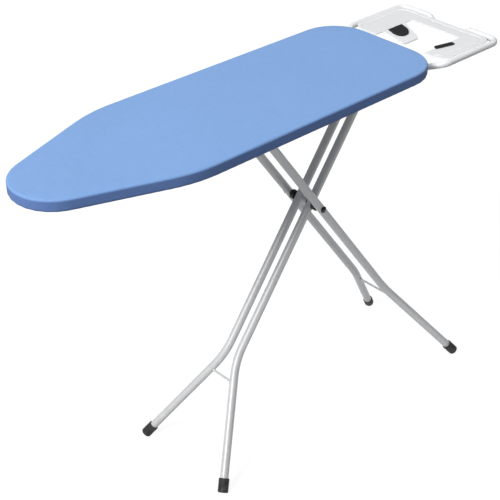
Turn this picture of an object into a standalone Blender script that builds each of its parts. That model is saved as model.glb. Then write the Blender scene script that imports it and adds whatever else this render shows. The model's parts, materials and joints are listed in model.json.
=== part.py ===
"""Folding ironing board: a padded board on a crossed four-tube stand, with an iron rest at its tail.

Frame: +Z up, origin on the floor under the middle of the overall box. X runs along the board from
the nose (-X) to the iron rest (+X), and Y across it. The near side is -Y, the far side +Y.
Stations named *_X are measured from the tip of the nose, and along() turns them into row X.
"""

import math

import bmesh
import bpy
from mathutils import Matrix, Vector

# Gaps
SEAT_GAP = 0.0003  # between pieces that touch
RUN_GAP = 0.0005  # radial, between a shaft and its hole

# Board
BOARD_LENGTH = 0.985
BOARD_HEIGHT = 0.860
SHOULDER_X = 0.2887
SHOULDER_HALF = 0.1697
TAIL_HALF = 0.1652
NOSE_RADIUS = 0.0933
SHOULDER_RADIUS = 0.285
TAIL_RADIUS = 0.090
COVER_THICKNESS = 0.0013
COVER_ROUND = 0.007
HEM_WIDTH = 0.020
PAD_THICKNESS = 0.007
MESH_THICKNESS = 0.0006
MESH_INSET = 0.003
RIM_RADIUS = 0.008
RIM_WALL = 0.001
RIM_INSET = 0.003
STRAP_WIDTH = 0.026
STRAP_THICKNESS = 0.002

# Stand
LEG_ANGLE = math.radians(54.4)
PIVOT_DROP = 0.060  # board top to the leg axes under it
CROSS_FROM_TAIL = 0.25255
CROSS_DROP = 0.3109  # board top to the crossing bolt
FOOT_SHIFT = 0.0093  # the feet's shift to the tail from the upper tubes' lines
BEND_HEIGHT = 0.228
LEG_RADIUS = 0.0095
LEG_WALL = 0.0012
LEG_BEND_RADIUS = 0.180
INNER_HALF = 0.018
OUTER_HALF = 0.049
INNER_FOOT_HALF = 0.138
OUTER_FOOT_HALF = 0.148
CAP_RADIUS = 0.012
CAP_TIP = 0.008
CAP_SLEEVE = 0.024
CAP_AXIS_LIFT = 0.0045  # the cap's axis above the floor at its tip
BRACE_RADIUS = 0.0025
BRACE_HEIGHT = 0.189

# Hinge at the tail
HINGE_TUBE_HALF = 0.058
BRACKET_THICKNESS = 0.0025
BRACKET_HALF_WIDTH = 0.014
PIN_RADIUS = 0.004
PIN_HEAD_RADIUS = 0.007
PIN_HEAD_LENGTH = 0.004
BUSH_FLANGE = 0.0012
BUSH_DEPTH = 0.012

# Slide
SLIDE_BAR_RADIUS = 0.008
SLIDE_SIDE_PLAY = 0.0015  # outer tube to the bush beside it
SLIDE_BUSH_RADIUS = 0.011
SLIDE_BUSH_LENGTH = 0.014
SLIDE_BUSH_WALL = 0.0018
RAIL_PLAY = 0.0012
RAIL_WALL = 0.0015
RAIL_FLANGE = 0.016
RAIL_END_ROOM = 0.010
FOLDED_ANGLE = math.radians(3.0)

# Crossing
BOLT_RADIUS = 0.004
BOLT_HEAD_RADIUS = 0.0062
BOLT_HEAD_LENGTH = 0.0035
WASHER_RADIUS = 0.0078
WASHER_THICKNESS = 0.0012
SPACER_RADIUS = 0.0110
SLEEVE_RADIUS = 0.0075  # between the inner tubes
NUT_LENGTH = 0.0045

# Height lever
LATCH_THICKNESS = 0.004
LATCH_DEPTH = 0.013
LATCH_TOOTH = 0.004
LATCH_PITCH = 0.030
LATCH_TEETH = 8
LATCH_PIVOT_BACK = 0.070  # behind the slide bar
LEVER_ROD_RADIUS = 0.003
LEVER_REACH_Y = -0.102
LEVER_FORWARD = 0.040  # past the rails' nose ends
GRIP_RADIUS = 0.009
GRIP_LENGTH = 0.075
SPRING_RADIUS = 0.006
SPRING_WIRE = 0.0006
SPRING_TURNS = 5

# Iron rest
REST_LENGTH = 0.21675  # overall, past the board's tail
REST_TUBE_RADIUS = 0.007
REST_TUBE_WALL = 0.001
REST_HALF = 0.144
REST_DROP = 0.022  # board top to the rest tube's axis
REST_DIP = 0.018
REST_CORNER = 0.024
REST_TUCK_HALF = 0.086
REST_TUCK_DEPTH = 0.0325  # board top to the tube's upper side, under the tail
REST_TUCK_BEND = 0.019  # tube's outer side to its bend to the sides, under the tail
REST_WIDE_X = 0.021  # tail to the tube's inner side, where it's at its full width
REST_DIP_TOP = 0.42  # shares of its half width
REST_DIP_BOTTOM = 0.25
REST_END_GAP = 0.008  # plate to the tube's end run
PLATE_TUCK = 0.014  # the arms' outer corners drawn in
PLATE_THICKNESS = 0.003
TAIL_GAP = 0.0275  # board's tail to the plate
PLATE_OPENING_LENGTH = 0.122
PLATE_OPENING_NEAR = -0.080
PLATE_OPENING_FAR = 0.062
PLATE_CORNER = 0.014
TONGUE_OFFSET = 0.0228  # past the plate's board side
TONGUE_WIDTH = 0.078
TONGUE_LENGTH = 0.060
TONGUE_TAPER = 0.010
TONGUE_SLOPE = math.radians(15)
TONGUE_LAP = 0.002
PAD_RISE = 0.003
HEEL_PAD_BACK = 0.002
HEEL_PAD_WIDTH = 0.044
HEEL_PAD_LENGTH = 0.036
STRIP_LENGTH = 0.050
STRIP_WIDTH = 0.012
STRIP_X = 0.0608  # past the plate's start
STRIP_BACK = 0.008  # from the opening
STRIP_TURN = math.radians(-14)
SADDLE_LENGTH = 0.020
SADDLE_WIDTH = 0.018
REST_SCREW_RADIUS = 0.0025

# Derived stations
OVERALL_LENGTH = BOARD_LENGTH + REST_LENGTH
PLATE_START_X = BOARD_LENGTH + TAIL_GAP
PLATE_OPENING_X = PLATE_START_X + PLATE_OPENING_LENGTH
TONGUE_START_X = PLATE_START_X + TONGUE_OFFSET
CROSS_X = BOARD_LENGTH - CROSS_FROM_TAIL
CROSS_Z = BOARD_HEIGHT - CROSS_DROP
PIVOT_Z = BOARD_HEIGHT - PIVOT_DROP
SLIDE_BAR_HALF = OUTER_HALF + LEG_RADIUS + SLIDE_SIDE_PLAY + SLIDE_BUSH_LENGTH
UPPER_ARM = (PIVOT_Z - CROSS_Z) / math.sin(LEG_ANGLE)  # the same on both pairs
HINGE_X = CROSS_X + UPPER_ARM * math.cos(LEG_ANGLE)
SLIDE_X = CROSS_X - UPPER_ARM * math.cos(LEG_ANGLE)
SLIDE_FOLDED_X = HINGE_X - 2 * UPPER_ARM * math.cos(FOLDED_ANGLE)
PAD_TOP = BOARD_HEIGHT - COVER_THICKNESS - SEAT_GAP
MESH_TOP_Z = PAD_TOP - PAD_THICKNESS - SEAT_GAP
RIM_TOP = MESH_TOP_Z - MESH_THICKNESS - SEAT_GAP
RIM_BOTTOM = RIM_TOP - 2 * RIM_RADIUS
COVER_BOTTOM = RIM_BOTTOM - 2 * SEAT_GAP - COVER_THICKNESS
STRAP_Z = RIM_TOP - STRAP_THICKNESS / 2
STRAP_UNDER = RIM_TOP - STRAP_THICKNESS
RIM_CENTRE_INSET = COVER_THICKNESS + RIM_INSET + RIM_RADIUS
RAIL_HALF = SLIDE_BUSH_RADIUS + RAIL_PLAY  # inside half height
RAIL_START_X = SLIDE_FOLDED_X - SLIDE_BUSH_RADIUS - RAIL_END_ROOM
RAIL_END_X = SLIDE_X + SLIDE_BUSH_RADIUS + RAIL_END_ROOM
RAIL_WEB_Y = SLIDE_BAR_HALF + SLIDE_BUSH_WALL + RAIL_PLAY + RAIL_WALL / 2
STRAP_STATIONS = {
    "strap_front": RAIL_START_X + STRAP_WIDTH,
    "strap_middle": RAIL_END_X - STRAP_WIDTH / 2,
    "strap_hinge": HINGE_X,
}

ROUND_SIDES = 24
SMOOTH_ANGLE = math.radians(35)


def along(station):
    """Row X of a station measured from the nose."""
    return station - OVERALL_LENGTH / 2


# Scene and materials

def clear_scene():
    for thing in list(bpy.data.objects):
        bpy.data.objects.remove(thing, do_unlink=True)


def new_collection(name):
    collection = bpy.data.collections.new(name)
    bpy.context.scene.collection.children.link(collection)
    return collection


def new_material(name, colour, roughness, metallic=0.0):
    material = bpy.data.materials.new(name)
    material.use_nodes = True
    shader = material.node_tree.nodes["Principled BSDF"]
    shader.inputs["Base Color"].default_value = (*colour, 1.0)
    shader.inputs["Roughness"].default_value = roughness
    shader.inputs["Metallic"].default_value = metallic
    material.diffuse_color = (*colour, 1.0)
    return material


FINISHES = {
    "cotton": ((0.27, 0.44, 0.80), 0.90, 0.0),
    "felt": ((0.80, 0.78, 0.72), 0.95, 0.0),
    "grey_paint": ((0.62, 0.64, 0.66), 0.35, 0.2),
    "white_paint": ((0.88, 0.88, 0.88), 0.35, 0.0),
    "zinc": ((0.60, 0.61, 0.62), 0.35, 0.9),
    "dark_steel": ((0.06, 0.06, 0.065), 0.40, 0.8),
    "black_plastic": ((0.02, 0.02, 0.02), 0.45, 0.0),
    "black_rubber": ((0.015, 0.015, 0.015), 0.70, 0.0),
}


def give_material(thing, finish):
    thing.data.materials.clear()
    thing.data.materials.append(new_material(thing.name, *FINISHES[finish]))


# Shape helpers

def add_object(name, data, finish, place=(0.0, 0.0, 0.0), turn=(0.0, 0.0, 0.0)):
    thing = bpy.data.objects.new(name, data)
    PARTS.objects.link(thing)
    thing.location = place
    thing.rotation_euler = turn
    give_material(thing, finish)
    return thing


def add_cutter(name, data, place=(0.0, 0.0, 0.0), turn=(0.0, 0.0, 0.0)):
    thing = bpy.data.objects.new(name, data)
    CUTTERS.objects.link(thing)
    thing.location = place
    thing.rotation_euler = turn
    thing.hide_render = True
    thing.display_type = "WIRE"
    return thing


def boolean(thing, other, operation="DIFFERENCE"):
    step = thing.modifiers.new(other.name, "BOOLEAN")
    step.operation = operation
    step.solver = "EXACT"
    step.object = other
    return step


def round_edges(thing, width, segments=3, angle=math.radians(40)):
    step = thing.modifiers.new("round", "BEVEL")
    step.width = width
    step.segments = segments
    step.limit_method = "ANGLE"
    step.angle_limit = angle
    return step


def smooth(mesh):
    mesh.shade_smooth()
    mesh.set_sharp_from_angle(angle=SMOOTH_ANGLE)


def box_mesh(name, size):
    bm = bmesh.new()
    bmesh.ops.create_cube(bm, size=1.0)
    bmesh.ops.scale(bm, vec=size, verts=bm.verts)
    mesh = bpy.data.meshes.new(name)
    bm.to_mesh(mesh)
    bm.free()
    return mesh


def rod_mesh(name, radius, length, sides=ROUND_SIDES):
    """A cylinder along Y."""
    bm = bmesh.new()
    turn = Matrix.Rotation(math.pi / 2, 4, "X")
    bmesh.ops.create_cone(
        bm, cap_ends=True, segments=sides, radius1=radius, radius2=radius, depth=length, matrix=turn
    )
    mesh = bpy.data.meshes.new(name)
    bm.to_mesh(mesh)
    bm.free()
    smooth(mesh)
    return mesh


def mesh_of_curve(curve, name):
    """The mesh that a curve makes, with its caps welded; the curve is removed."""
    carrier = bpy.data.objects.new(name + "_curve", curve)
    bpy.context.scene.collection.objects.link(carrier)
    seen = carrier.evaluated_get(bpy.context.evaluated_depsgraph_get())
    mesh = bpy.data.meshes.new_from_object(seen)
    bm = bmesh.new()
    bm.from_mesh(mesh)
    bmesh.ops.remove_doubles(bm, verts=bm.verts, dist=0.00002)
    bm.to_mesh(mesh)
    bm.free()
    bpy.data.objects.remove(carrier, do_unlink=True)
    bpy.data.curves.remove(curve)
    mesh.name = name
    smooth(mesh)
    return mesh


def outline_mesh(name, outline, thickness):
    """A flat closed outline in XY, extruded to a thickness about z = 0."""
    curve = bpy.data.curves.new(name, "CURVE")
    curve.dimensions = "2D"
    curve.fill_mode = "BOTH"
    curve.extrude = thickness / 2
    spline = curve.splines.new("POLY")
    spline.points.add(len(outline) - 1)
    for point, (x, y) in zip(spline.points, outline):
        point.co = (x, y, 0.0, 1.0)
    spline.use_cyclic_u = True
    return mesh_of_curve(curve, name)


def wire_mesh(name, route, radius, resolution=2, caps=True):
    """A round bar along a route, with filled ends, or open for a tube wall."""
    curve = bpy.data.curves.new(name, "CURVE")
    curve.dimensions = "3D"
    curve.bevel_depth = radius
    curve.bevel_resolution = resolution
    curve.use_fill_caps = caps
    spline = curve.splines.new("POLY")
    spline.points.add(len(route) - 1)
    for point, place in zip(spline.points, route):
        point.co = (*place, 1.0)
    return mesh_of_curve(curve, name)


def add_tube(name, route, radius, wall, finish, resolution=4):
    """A hollow tube along a route, open at both ends."""
    tube = add_object(name, wire_mesh(name, route, radius, resolution, caps=False), finish)
    step = tube.modifiers.new("wall", "SOLIDIFY")
    step.thickness = wall
    step.offset = -1.0
    return tube


def turned_mesh(name, profile, sides=ROUND_SIDES):
    """A profile of (radius, z) points swept about Z; it runs down the outer side.

    A profile that does not start and end on the axis is closed on itself.
    """
    bm = bmesh.new()
    points = [bm.verts.new((radius, 0.0, z)) for radius, z in profile]
    for a, b in zip(points, points[1:]):
        bm.edges.new((a, b))
    if profile[0][0] > 0.0:
        bm.edges.new((points[-1], points[0]))
    mesh = bpy.data.meshes.new(name + "_profile")
    bm.to_mesh(mesh)
    bm.free()
    carrier = bpy.data.objects.new(name + "_profile", mesh)
    bpy.context.scene.collection.objects.link(carrier)
    step = carrier.modifiers.new("turn", "SCREW")
    step.steps = sides
    step.render_steps = sides
    step.use_merge_vertices = True
    step.merge_threshold = 0.00002
    seen = carrier.evaluated_get(bpy.context.evaluated_depsgraph_get())
    turned = bpy.data.meshes.new_from_object(seen)
    bpy.data.objects.remove(carrier, do_unlink=True)
    bpy.data.meshes.remove(mesh)
    turned.name = name
    smooth(turned)
    return turned


ALONG_Y = (math.pi / 2, 0.0, 0.0)  # turns +Z to -Y
ALONG_FAR_Y = (-math.pi / 2, 0.0, 0.0)  # turns +Z to +Y


def rounded_route(corners, radii, steps=6):
    """A route through corners, each rounded by an arc of its radius."""
    points = [Vector(corners[0])]
    for before, corner, after, radius in zip(corners, corners[1:], corners[2:], radii):
        corner = Vector(corner)
        back = (Vector(before) - corner).normalized()
        ahead = (Vector(after) - corner).normalized()
        half = back.angle(ahead) / 2
        reach = radius / math.tan(half)
        middle = (back + ahead).normalized()
        centre = corner + middle * (radius / math.sin(half))
        start = corner + back * reach - centre
        end = corner + ahead * reach - centre
        sweep = start.angle(end)
        for step in range(steps + 1):
            share = step / steps
            arm = start * math.sin((1 - share) * sweep) + end * math.sin(share * sweep)
            points.append(centre + arm / math.sin(sweep))
    points.append(Vector(corners[-1]))
    return points


def rounded_polygon(corners, radii, steps=5):
    """A closed outline in XY with each corner rounded by its radius; 0 keeps it sharp."""
    outline = []
    count = len(corners)
    for index in range(count):
        before = (*corners[index - 1], 0.0)
        corner = (*corners[index], 0.0)
        after = (*corners[(index + 1) % count], 0.0)
        if radii[index] == 0.0:
            outline.append(corners[index])
        else:
            arc = rounded_route([before, corner, after], [radii[index]], steps)
            outline.extend((point.x, point.y) for point in arc[1:-1])
    return outline


# Board

def board_outline(inset):
    """The board's edge in XY, moved inwards by an inset.

    The far half runs from the tail to the nose: the tail corner's arc, the side, the shoulder's
    arc, the taper, and the nose's arc, which the taper meets at a tangent. The near half is its
    mirror image.
    """
    nose = Vector((along(NOSE_RADIUS), 0.0))
    shoulder = Vector((along(SHOULDER_X), SHOULDER_HALF))
    reach = shoulder - nose
    tangent = math.atan2(reach.y, reach.x) + math.acos(NOSE_RADIUS / reach.length)
    touch = nose + NOSE_RADIUS * Vector((math.cos(tangent), math.sin(tangent)))
    tail = (along(BOARD_LENGTH), TAIL_HALF, 0.0)
    corners = [(tail[0], 0.0, 0.0), tail, (*shoulder, 0.0), (*touch, 0.0)]
    half = rounded_route(corners, [TAIL_RADIUS, SHOULDER_RADIUS], steps=10)[1:]
    nose_steps = 10
    for step in range(1, nose_steps + 1):
        angle = tangent + (math.pi - tangent) * step / nose_steps
        spoke = Vector((math.cos(angle), math.sin(angle), 0.0))
        half.append(Vector((*nose, 0.0)) + NOSE_RADIUS * spoke)
    far = [(point.x, point.y) for point in half]
    near = [(x, -y) for x, y in reversed(far[:-1])]
    loop = far + near
    return moved_inwards(loop, inset)


def moved_inwards(loop, inset):
    """Each point of a left-hand loop moved by an inset along its corner's bisector."""
    moved = []
    count = len(loop)
    for index, (x, y) in enumerate(loop):
        before = Vector(loop[index - 1])
        here = Vector((x, y))
        after = Vector(loop[(index + 1) % count])
        first = (here - before).normalized()
        second = (after - here).normalized()
        normal = Vector((-first.y - second.y, first.x + second.x)).normalized()
        stretch = max(normal.dot(Vector((-first.y, first.x))), 0.5)
        moved.append(tuple(here + normal * (inset / stretch)))
    return moved


def slab(name, inset, low, high):
    """The board's outline as a mesh between two heights, and the height of its middle."""
    return outline_mesh(name, board_outline(inset), high - low), (low + high) / 2


def make_cover():
    mesh, middle = slab("cover", 0.0, COVER_BOTTOM, BOARD_HEIGHT)
    cover = add_object("cover", mesh, "cotton", (0.0, 0.0, middle))
    round_edges(cover, COVER_ROUND, segments=2)
    ceiling = BOARD_HEIGHT - COVER_THICKNESS
    floor = COVER_BOTTOM + COVER_THICKNESS
    mesh, middle = slab("cover_hollow", COVER_THICKNESS, floor, ceiling)
    hollow = add_cutter("cover_hollow", mesh, (0.0, 0.0, middle))
    round_edges(hollow, COVER_ROUND - COVER_THICKNESS, segments=2)
    mesh, middle = slab("cover_mouth", HEM_WIDTH, COVER_BOTTOM - HEM_WIDTH, floor + RIM_RADIUS)
    mouth = add_cutter("cover_mouth", mesh, (0.0, 0.0, middle))
    boolean(cover, hollow)
    boolean(cover, mouth)


def make_pad():
    inset = COVER_THICKNESS + SEAT_GAP
    mesh, middle = slab("pad", inset, PAD_TOP - PAD_THICKNESS, PAD_TOP)
    pad = add_object("pad", mesh, "felt", (0.0, 0.0, middle))
    round_edges(pad, COVER_ROUND - inset, angle=math.radians(60))


def make_mesh_top():
    mesh, middle = slab("mesh_top", MESH_INSET, MESH_TOP_Z - MESH_THICKNESS, MESH_TOP_Z)
    add_object("mesh_top", mesh, "grey_paint", (0.0, 0.0, middle))


def make_rim():
    """A bent tube round the edge, butted at the middle of the tail."""
    loop = board_outline(RIM_CENTRE_INSET)
    height = RIM_TOP - RIM_RADIUS
    route = [Vector((x, y, height)) for x, y in loop]
    tail_x = route[0].x
    start = Vector((tail_x, SEAT_GAP, height))
    end = Vector((tail_x, -SEAT_GAP, height))
    add_tube("rim_tube", [start, *route, end], RIM_RADIUS, RIM_WALL, "grey_paint", resolution=2)


def half_width(station, inset):
    """Half the board's width at a station, less an inset."""
    loop = board_outline(inset)
    x = along(station)
    for (x0, y0), (x1, y1) in zip(loop, loop[1:]):
        if y0 > 0.0 and min(x0, x1) <= x <= max(x0, x1) and x0 != x1:
            return y0 + (y1 - y0) * (x - x0) / (x1 - x0)
    return 0.0


def make_straps():
    """Cross straps under the mesh, from rim to rim."""
    inset = RIM_CENTRE_INSET + RIM_RADIUS + SEAT_GAP
    for name, station in STRAP_STATIONS.items():
        edges = (station - STRAP_WIDTH / 2, station + STRAP_WIDTH / 2)
        reach = min(half_width(edge, inset) for edge in edges)
        mesh = box_mesh(name, (STRAP_WIDTH, 2 * reach, STRAP_THICKNESS))
        add_object(name, mesh, "grey_paint", (along(station), 0.0, STRAP_Z - SEAT_GAP))


def rail_section():
    """A channel's section in (y, z), with its mouth towards the middle of the board."""
    back = RAIL_WEB_Y + RAIL_WALL / 2
    mouth = back - RAIL_FLANGE
    inside = RAIL_WEB_Y - RAIL_WALL / 2
    outer = RAIL_HALF + RAIL_WALL
    return [
        (mouth, RAIL_HALF), (inside, RAIL_HALF), (inside, -RAIL_HALF), (mouth, -RAIL_HALF),
        (mouth, -outer), (back, -outer), (back, outer), (mouth, outer),
    ]


def make_rails():
    """Two channels that the slide bar's bushes run in, each on legs under two straps."""
    length = RAIL_END_X - RAIL_START_X
    middle = along((RAIL_START_X + RAIL_END_X) / 2)
    for side, name in ((-1, "rail_near"), (1, "rail_far")):
        section = [(side * y, z) for y, z in rail_section()]
        mesh = outline_mesh(name, section, length)
        turn = Matrix(((0, 0, 1), (1, 0, 0), (0, 1, 0))).to_euler()
        rail = add_object(name, mesh, "zinc", (middle, 0.0, PIVOT_Z), turn)
        for strap in ("strap_front", "strap_middle"):
            hang_rail(rail, strap, side)


def hang_rail(rail, strap, side):
    """Joins a hanger to a rail: an upright from the rail's web to the strap above it."""
    low = PIVOT_Z + RAIL_HALF + RAIL_WALL / 2
    high = STRAP_UNDER - 2 * SEAT_GAP
    size = (STRAP_WIDTH * 0.7, RAIL_FLANGE - RAIL_WALL, high - low)
    y = side * (RAIL_WEB_Y + RAIL_WALL / 2 - size[1] / 2)
    name = rail.name + "_" + strap
    place = (along(STRAP_STATIONS[strap]), y, (low + high) / 2)
    boolean(rail, add_cutter(name, box_mesh(name, size), place), "UNION")


# Hinge at the tail

def make_hinge_brackets():
    """A plate each side of the hinge tube, hanging from its strap, with the pin's hole."""
    top = STRAP_UNDER - 2 * SEAT_GAP - PIVOT_Z
    half = BRACKET_HALF_WIDTH
    corners = [(-half, top), (-half, -half), (half, -half), (half, top)]
    outline = rounded_polygon(corners, [0.0, half * 0.95, half * 0.95, 0.0])
    gap = HINGE_TUBE_HALF + BUSH_FLANGE + 2 * SEAT_GAP
    for side, name in ((-1, "hinge_bracket_near"), (1, "hinge_bracket_far")):
        y = side * (gap + BRACKET_THICKNESS / 2)
        mesh = outline_mesh(name, outline, BRACKET_THICKNESS)
        bracket = add_object(name, mesh, "zinc", (along(HINGE_X), y, PIVOT_Z), ALONG_Y)
        foot_name = name + "_foot"
        size = (2 * half, STRAP_WIDTH / 2, BRACKET_THICKNESS)
        place = (along(HINGE_X), side * (gap + size[1] / 2), PIVOT_Z + top - size[2] / 2)
        foot = add_cutter(foot_name, box_mesh(foot_name, size), place)
        boolean(bracket, foot, "UNION")
        hole = rod_mesh(name + "_hole", PIN_RADIUS + RUN_GAP, BRACKET_THICKNESS * 6)
        cutter = add_cutter(name + "_hole", hole, (along(HINGE_X), y, PIVOT_Z))
        boolean(bracket, cutter)


def make_hinge_pin():
    """A rod with a swaged head outside each bracket."""
    reach = HINGE_TUBE_HALF + BUSH_FLANGE + BRACKET_THICKNESS + 3 * SEAT_GAP
    head = reach + PIN_HEAD_LENGTH
    profile = [
        (0.0, head), (PIN_HEAD_RADIUS, head - 0.001), (PIN_HEAD_RADIUS, reach),
        (PIN_RADIUS, reach), (PIN_RADIUS, -reach), (PIN_HEAD_RADIUS, -reach),
        (PIN_HEAD_RADIUS, -head + 0.001), (0.0, -head),
    ]
    mesh = turned_mesh("hinge_pin", profile)
    add_object("hinge_pin", mesh, "zinc", (along(HINGE_X), 0.0, PIVOT_Z), ALONG_Y)


def bush_profile(bore, outer, flange_radius, flange, depth):
    """A flanged bush: its flange from z = 0 up, its body below."""
    return [
        (bore, flange), (flange_radius, flange), (flange_radius, 0.0),
        (outer, 0.0), (outer, -depth), (bore, -depth),
    ]


def make_hinge_tube():
    route = [(along(HINGE_X), -HINGE_TUBE_HALF, PIVOT_Z), (along(HINGE_X), HINGE_TUBE_HALF, PIVOT_Z)]
    add_tube("hinge_tube", route, LEG_RADIUS, LEG_WALL, "grey_paint", resolution=6)
    inside = LEG_RADIUS - LEG_WALL - SEAT_GAP
    profile = bush_profile(PIN_RADIUS + RUN_GAP, inside, LEG_RADIUS, BUSH_FLANGE, BUSH_DEPTH)
    y = HINGE_TUBE_HALF + SEAT_GAP
    for side, name, turn in ((-1, "hinge_bush_near", ALONG_Y), (1, "hinge_bush_far", ALONG_FAR_Y)):
        mesh = turned_mesh(name, profile)
        add_object(name, mesh, "black_plastic", (along(HINGE_X), side * y, PIVOT_Z), turn)


def make_slide_bar():
    route = [(along(SLIDE_X), -SLIDE_BAR_HALF, PIVOT_Z), (along(SLIDE_X), SLIDE_BAR_HALF, PIVOT_Z)]
    add_tube("slide_bar", route, SLIDE_BAR_RADIUS, LEG_WALL, "grey_paint", resolution=6)
    bore = SLIDE_BAR_RADIUS + SEAT_GAP
    tip = SLIDE_BUSH_WALL
    depth = SLIDE_BUSH_LENGTH
    seat = SEAT_GAP
    profile = [
        (0.0, tip), (SLIDE_BUSH_RADIUS - 0.001, tip), (SLIDE_BUSH_RADIUS, tip - 0.001),
        (SLIDE_BUSH_RADIUS, -depth), (bore, -depth), (bore, seat), (0.0, seat),
    ]
    for side, name, turn in ((-1, "slide_bush_near", ALONG_Y), (1, "slide_bush_far", ALONG_FAR_Y)):
        mesh = turned_mesh(name, profile)
        place = (along(SLIDE_X), side * SLIDE_BAR_HALF, PIVOT_Z)
        add_object(name, mesh, "black_plastic", place, turn)


# Stand

def leg_point(top_x, lean, height, shift=0.0):
    """Row X of a leg's line at a height; lean is -1 towards the nose, +1 towards the tail."""
    return along(top_x) + lean * (PIVOT_Z - height) / math.tan(LEG_ANGLE) + shift


def leg_route(top_x, lean, top_radius, half, foot_half, side):
    """A leg's axis from under its top tube to its end in the foot cap."""
    drop = (top_radius + SEAT_GAP) * math.sin(LEG_ANGLE)
    top = Vector((leg_point(top_x, lean, PIVOT_Z - drop), side * half, PIVOT_Z - drop))
    bend = Vector((leg_point(top_x, lean, BEND_HEIGHT), side * half, BEND_HEIGHT))
    tip_x = leg_point(top_x, lean, CAP_AXIS_LIFT, FOOT_SHIFT)
    tip = Vector((tip_x, side * foot_half, CAP_AXIS_LIFT))
    end = tip + (bend - tip).normalized() * CAP_TIP
    return rounded_route([top, bend, end], [LEG_BEND_RADIUS])


def hole_through(thing, radius):
    """The crossing bolt's hole, along Y."""
    name = thing.name + "_hole"
    mesh = rod_mesh(name, radius, 4 * OUTER_HALF)
    boolean(thing, add_cutter(name, mesh, (along(CROSS_X), 0.0, CROSS_Z)))


def make_leg(prefix, top_x, lean, top_radius, half, foot_half):
    """Both tubes of a pair with their foot caps, and the brace wire between the tubes."""
    for side, suffix in ((-1, "near"), (1, "far")):
        route = leg_route(top_x, lean, top_radius, half, foot_half, side)
        name = f"{prefix}_tube_{suffix}"
        tube = add_tube(name, route, LEG_RADIUS, LEG_WALL, "grey_paint", resolution=5)
        hole_through(tube, BOLT_RADIUS + RUN_GAP)
        make_foot_cap(f"{prefix}_foot_{suffix}", route[-1], route[-1] - route[-2])
    make_brace(prefix + "_brace", route)


def make_brace(name, route):
    """A straight wire between a pair's tubes, just below their bends."""
    below = [point for point in route if point.z < BRACE_HEIGHT]
    above = [point for point in route if point.z >= BRACE_HEIGHT]
    share = (above[-1].z - BRACE_HEIGHT) / (above[-1].z - below[0].z)
    middle = above[-1].lerp(below[0], share)
    run = (below[0] - above[-1]).normalized()
    reach = middle.y - (LEG_RADIUS + 3 * SEAT_GAP) / math.sqrt(1 - run.y**2)
    ends = [(middle.x, -reach + BRACE_RADIUS * run.y, middle.z)]
    ends.append((middle.x, reach - BRACE_RADIUS * run.y, middle.z))
    add_object(name, wire_mesh(name, ends, BRACE_RADIUS), "grey_paint")


def cup_profile(outer, bore, tip, depth, edge):
    """A cap's section: closed for a tip above z = 0, a sleeve below."""
    return [
        (0.0, tip), (outer - edge, tip), (outer - edge * 0.3, tip - edge * 0.3),
        (outer, tip - edge), (outer, -depth), (bore, -depth), (bore, SEAT_GAP), (0.0, SEAT_GAP),
    ]


def make_foot_cap(name, end, down):
    """A cap over a tube's end, with a flat where it stands on the floor."""
    bore = LEG_RADIUS + SEAT_GAP
    mesh = turned_mesh(name, cup_profile(CAP_RADIUS, bore, CAP_TIP, CAP_SLEEVE, 0.0015))
    turn = down.to_track_quat("Z", "Y").to_euler()
    cap = add_object(name, mesh, "black_rubber", end, turn)
    size = 8 * CAP_RADIUS
    block = box_mesh(name + "_floor", (size, size, size))
    place = (end.x, end.y, -size / 2)
    boolean(cap, add_cutter(name + "_floor", block, place))


def ring(name, outer, bore, start, end, finish):
    """A ring on the crossing bolt from one y to another."""
    half = abs(end - start) / 2
    profile = [(outer, half), (outer, -half), (bore, -half), (bore, half)]
    place = (along(CROSS_X), (start + end) / 2, CROSS_Z)
    add_object(name, turned_mesh(name, profile), finish, place, ALONG_Y)


def make_crossing():
    """The bolt through four tubes, its washers and nut, and what spaces the tubes."""
    bore = BOLT_RADIUS + RUN_GAP
    inner_face = INNER_HALF - LEG_RADIUS - SEAT_GAP
    ring("cross_sleeve", SLEEVE_RADIUS, bore, -inner_face, inner_face, "grey_paint")
    outside = OUTER_HALF + LEG_RADIUS + SEAT_GAP
    gap = (INNER_HALF + LEG_RADIUS + SEAT_GAP, OUTER_HALF - LEG_RADIUS - SEAT_GAP)
    for side, suffix in ((-1, "near"), (1, "far")):
        ring(f"cross_spacer_{suffix}", SPACER_RADIUS, bore, side * gap[0], side * gap[1],
             "black_plastic")
        ring(f"cross_washer_{suffix}", WASHER_RADIUS, bore, side * outside,
             side * (outside + WASHER_THICKNESS), "black_plastic")
    seat = outside + WASHER_THICKNESS + SEAT_GAP
    head = seat + BOLT_HEAD_LENGTH
    tail = seat + NUT_LENGTH + 0.001
    profile = [
        (0.0, head), (BOLT_HEAD_RADIUS * 0.6, head - 0.0005), (BOLT_HEAD_RADIUS, seat + 0.0015),
        (BOLT_HEAD_RADIUS, seat), (BOLT_RADIUS, seat), (BOLT_RADIUS, -tail), (0.0, -tail),
    ]
    place = (along(CROSS_X), 0.0, CROSS_Z)
    add_object("cross_bolt", turned_mesh("cross_bolt", profile), "dark_steel", place, ALONG_Y)
    nut = rod_mesh("cross_nut", BOLT_HEAD_RADIUS, NUT_LENGTH, sides=6)
    y = seat + SEAT_GAP + NUT_LENGTH / 2
    nut = add_object("cross_nut", nut, "dark_steel", (along(CROSS_X), y, CROSS_Z))
    hole_through(nut, BOLT_RADIUS + SEAT_GAP)


# Height lever

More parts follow.
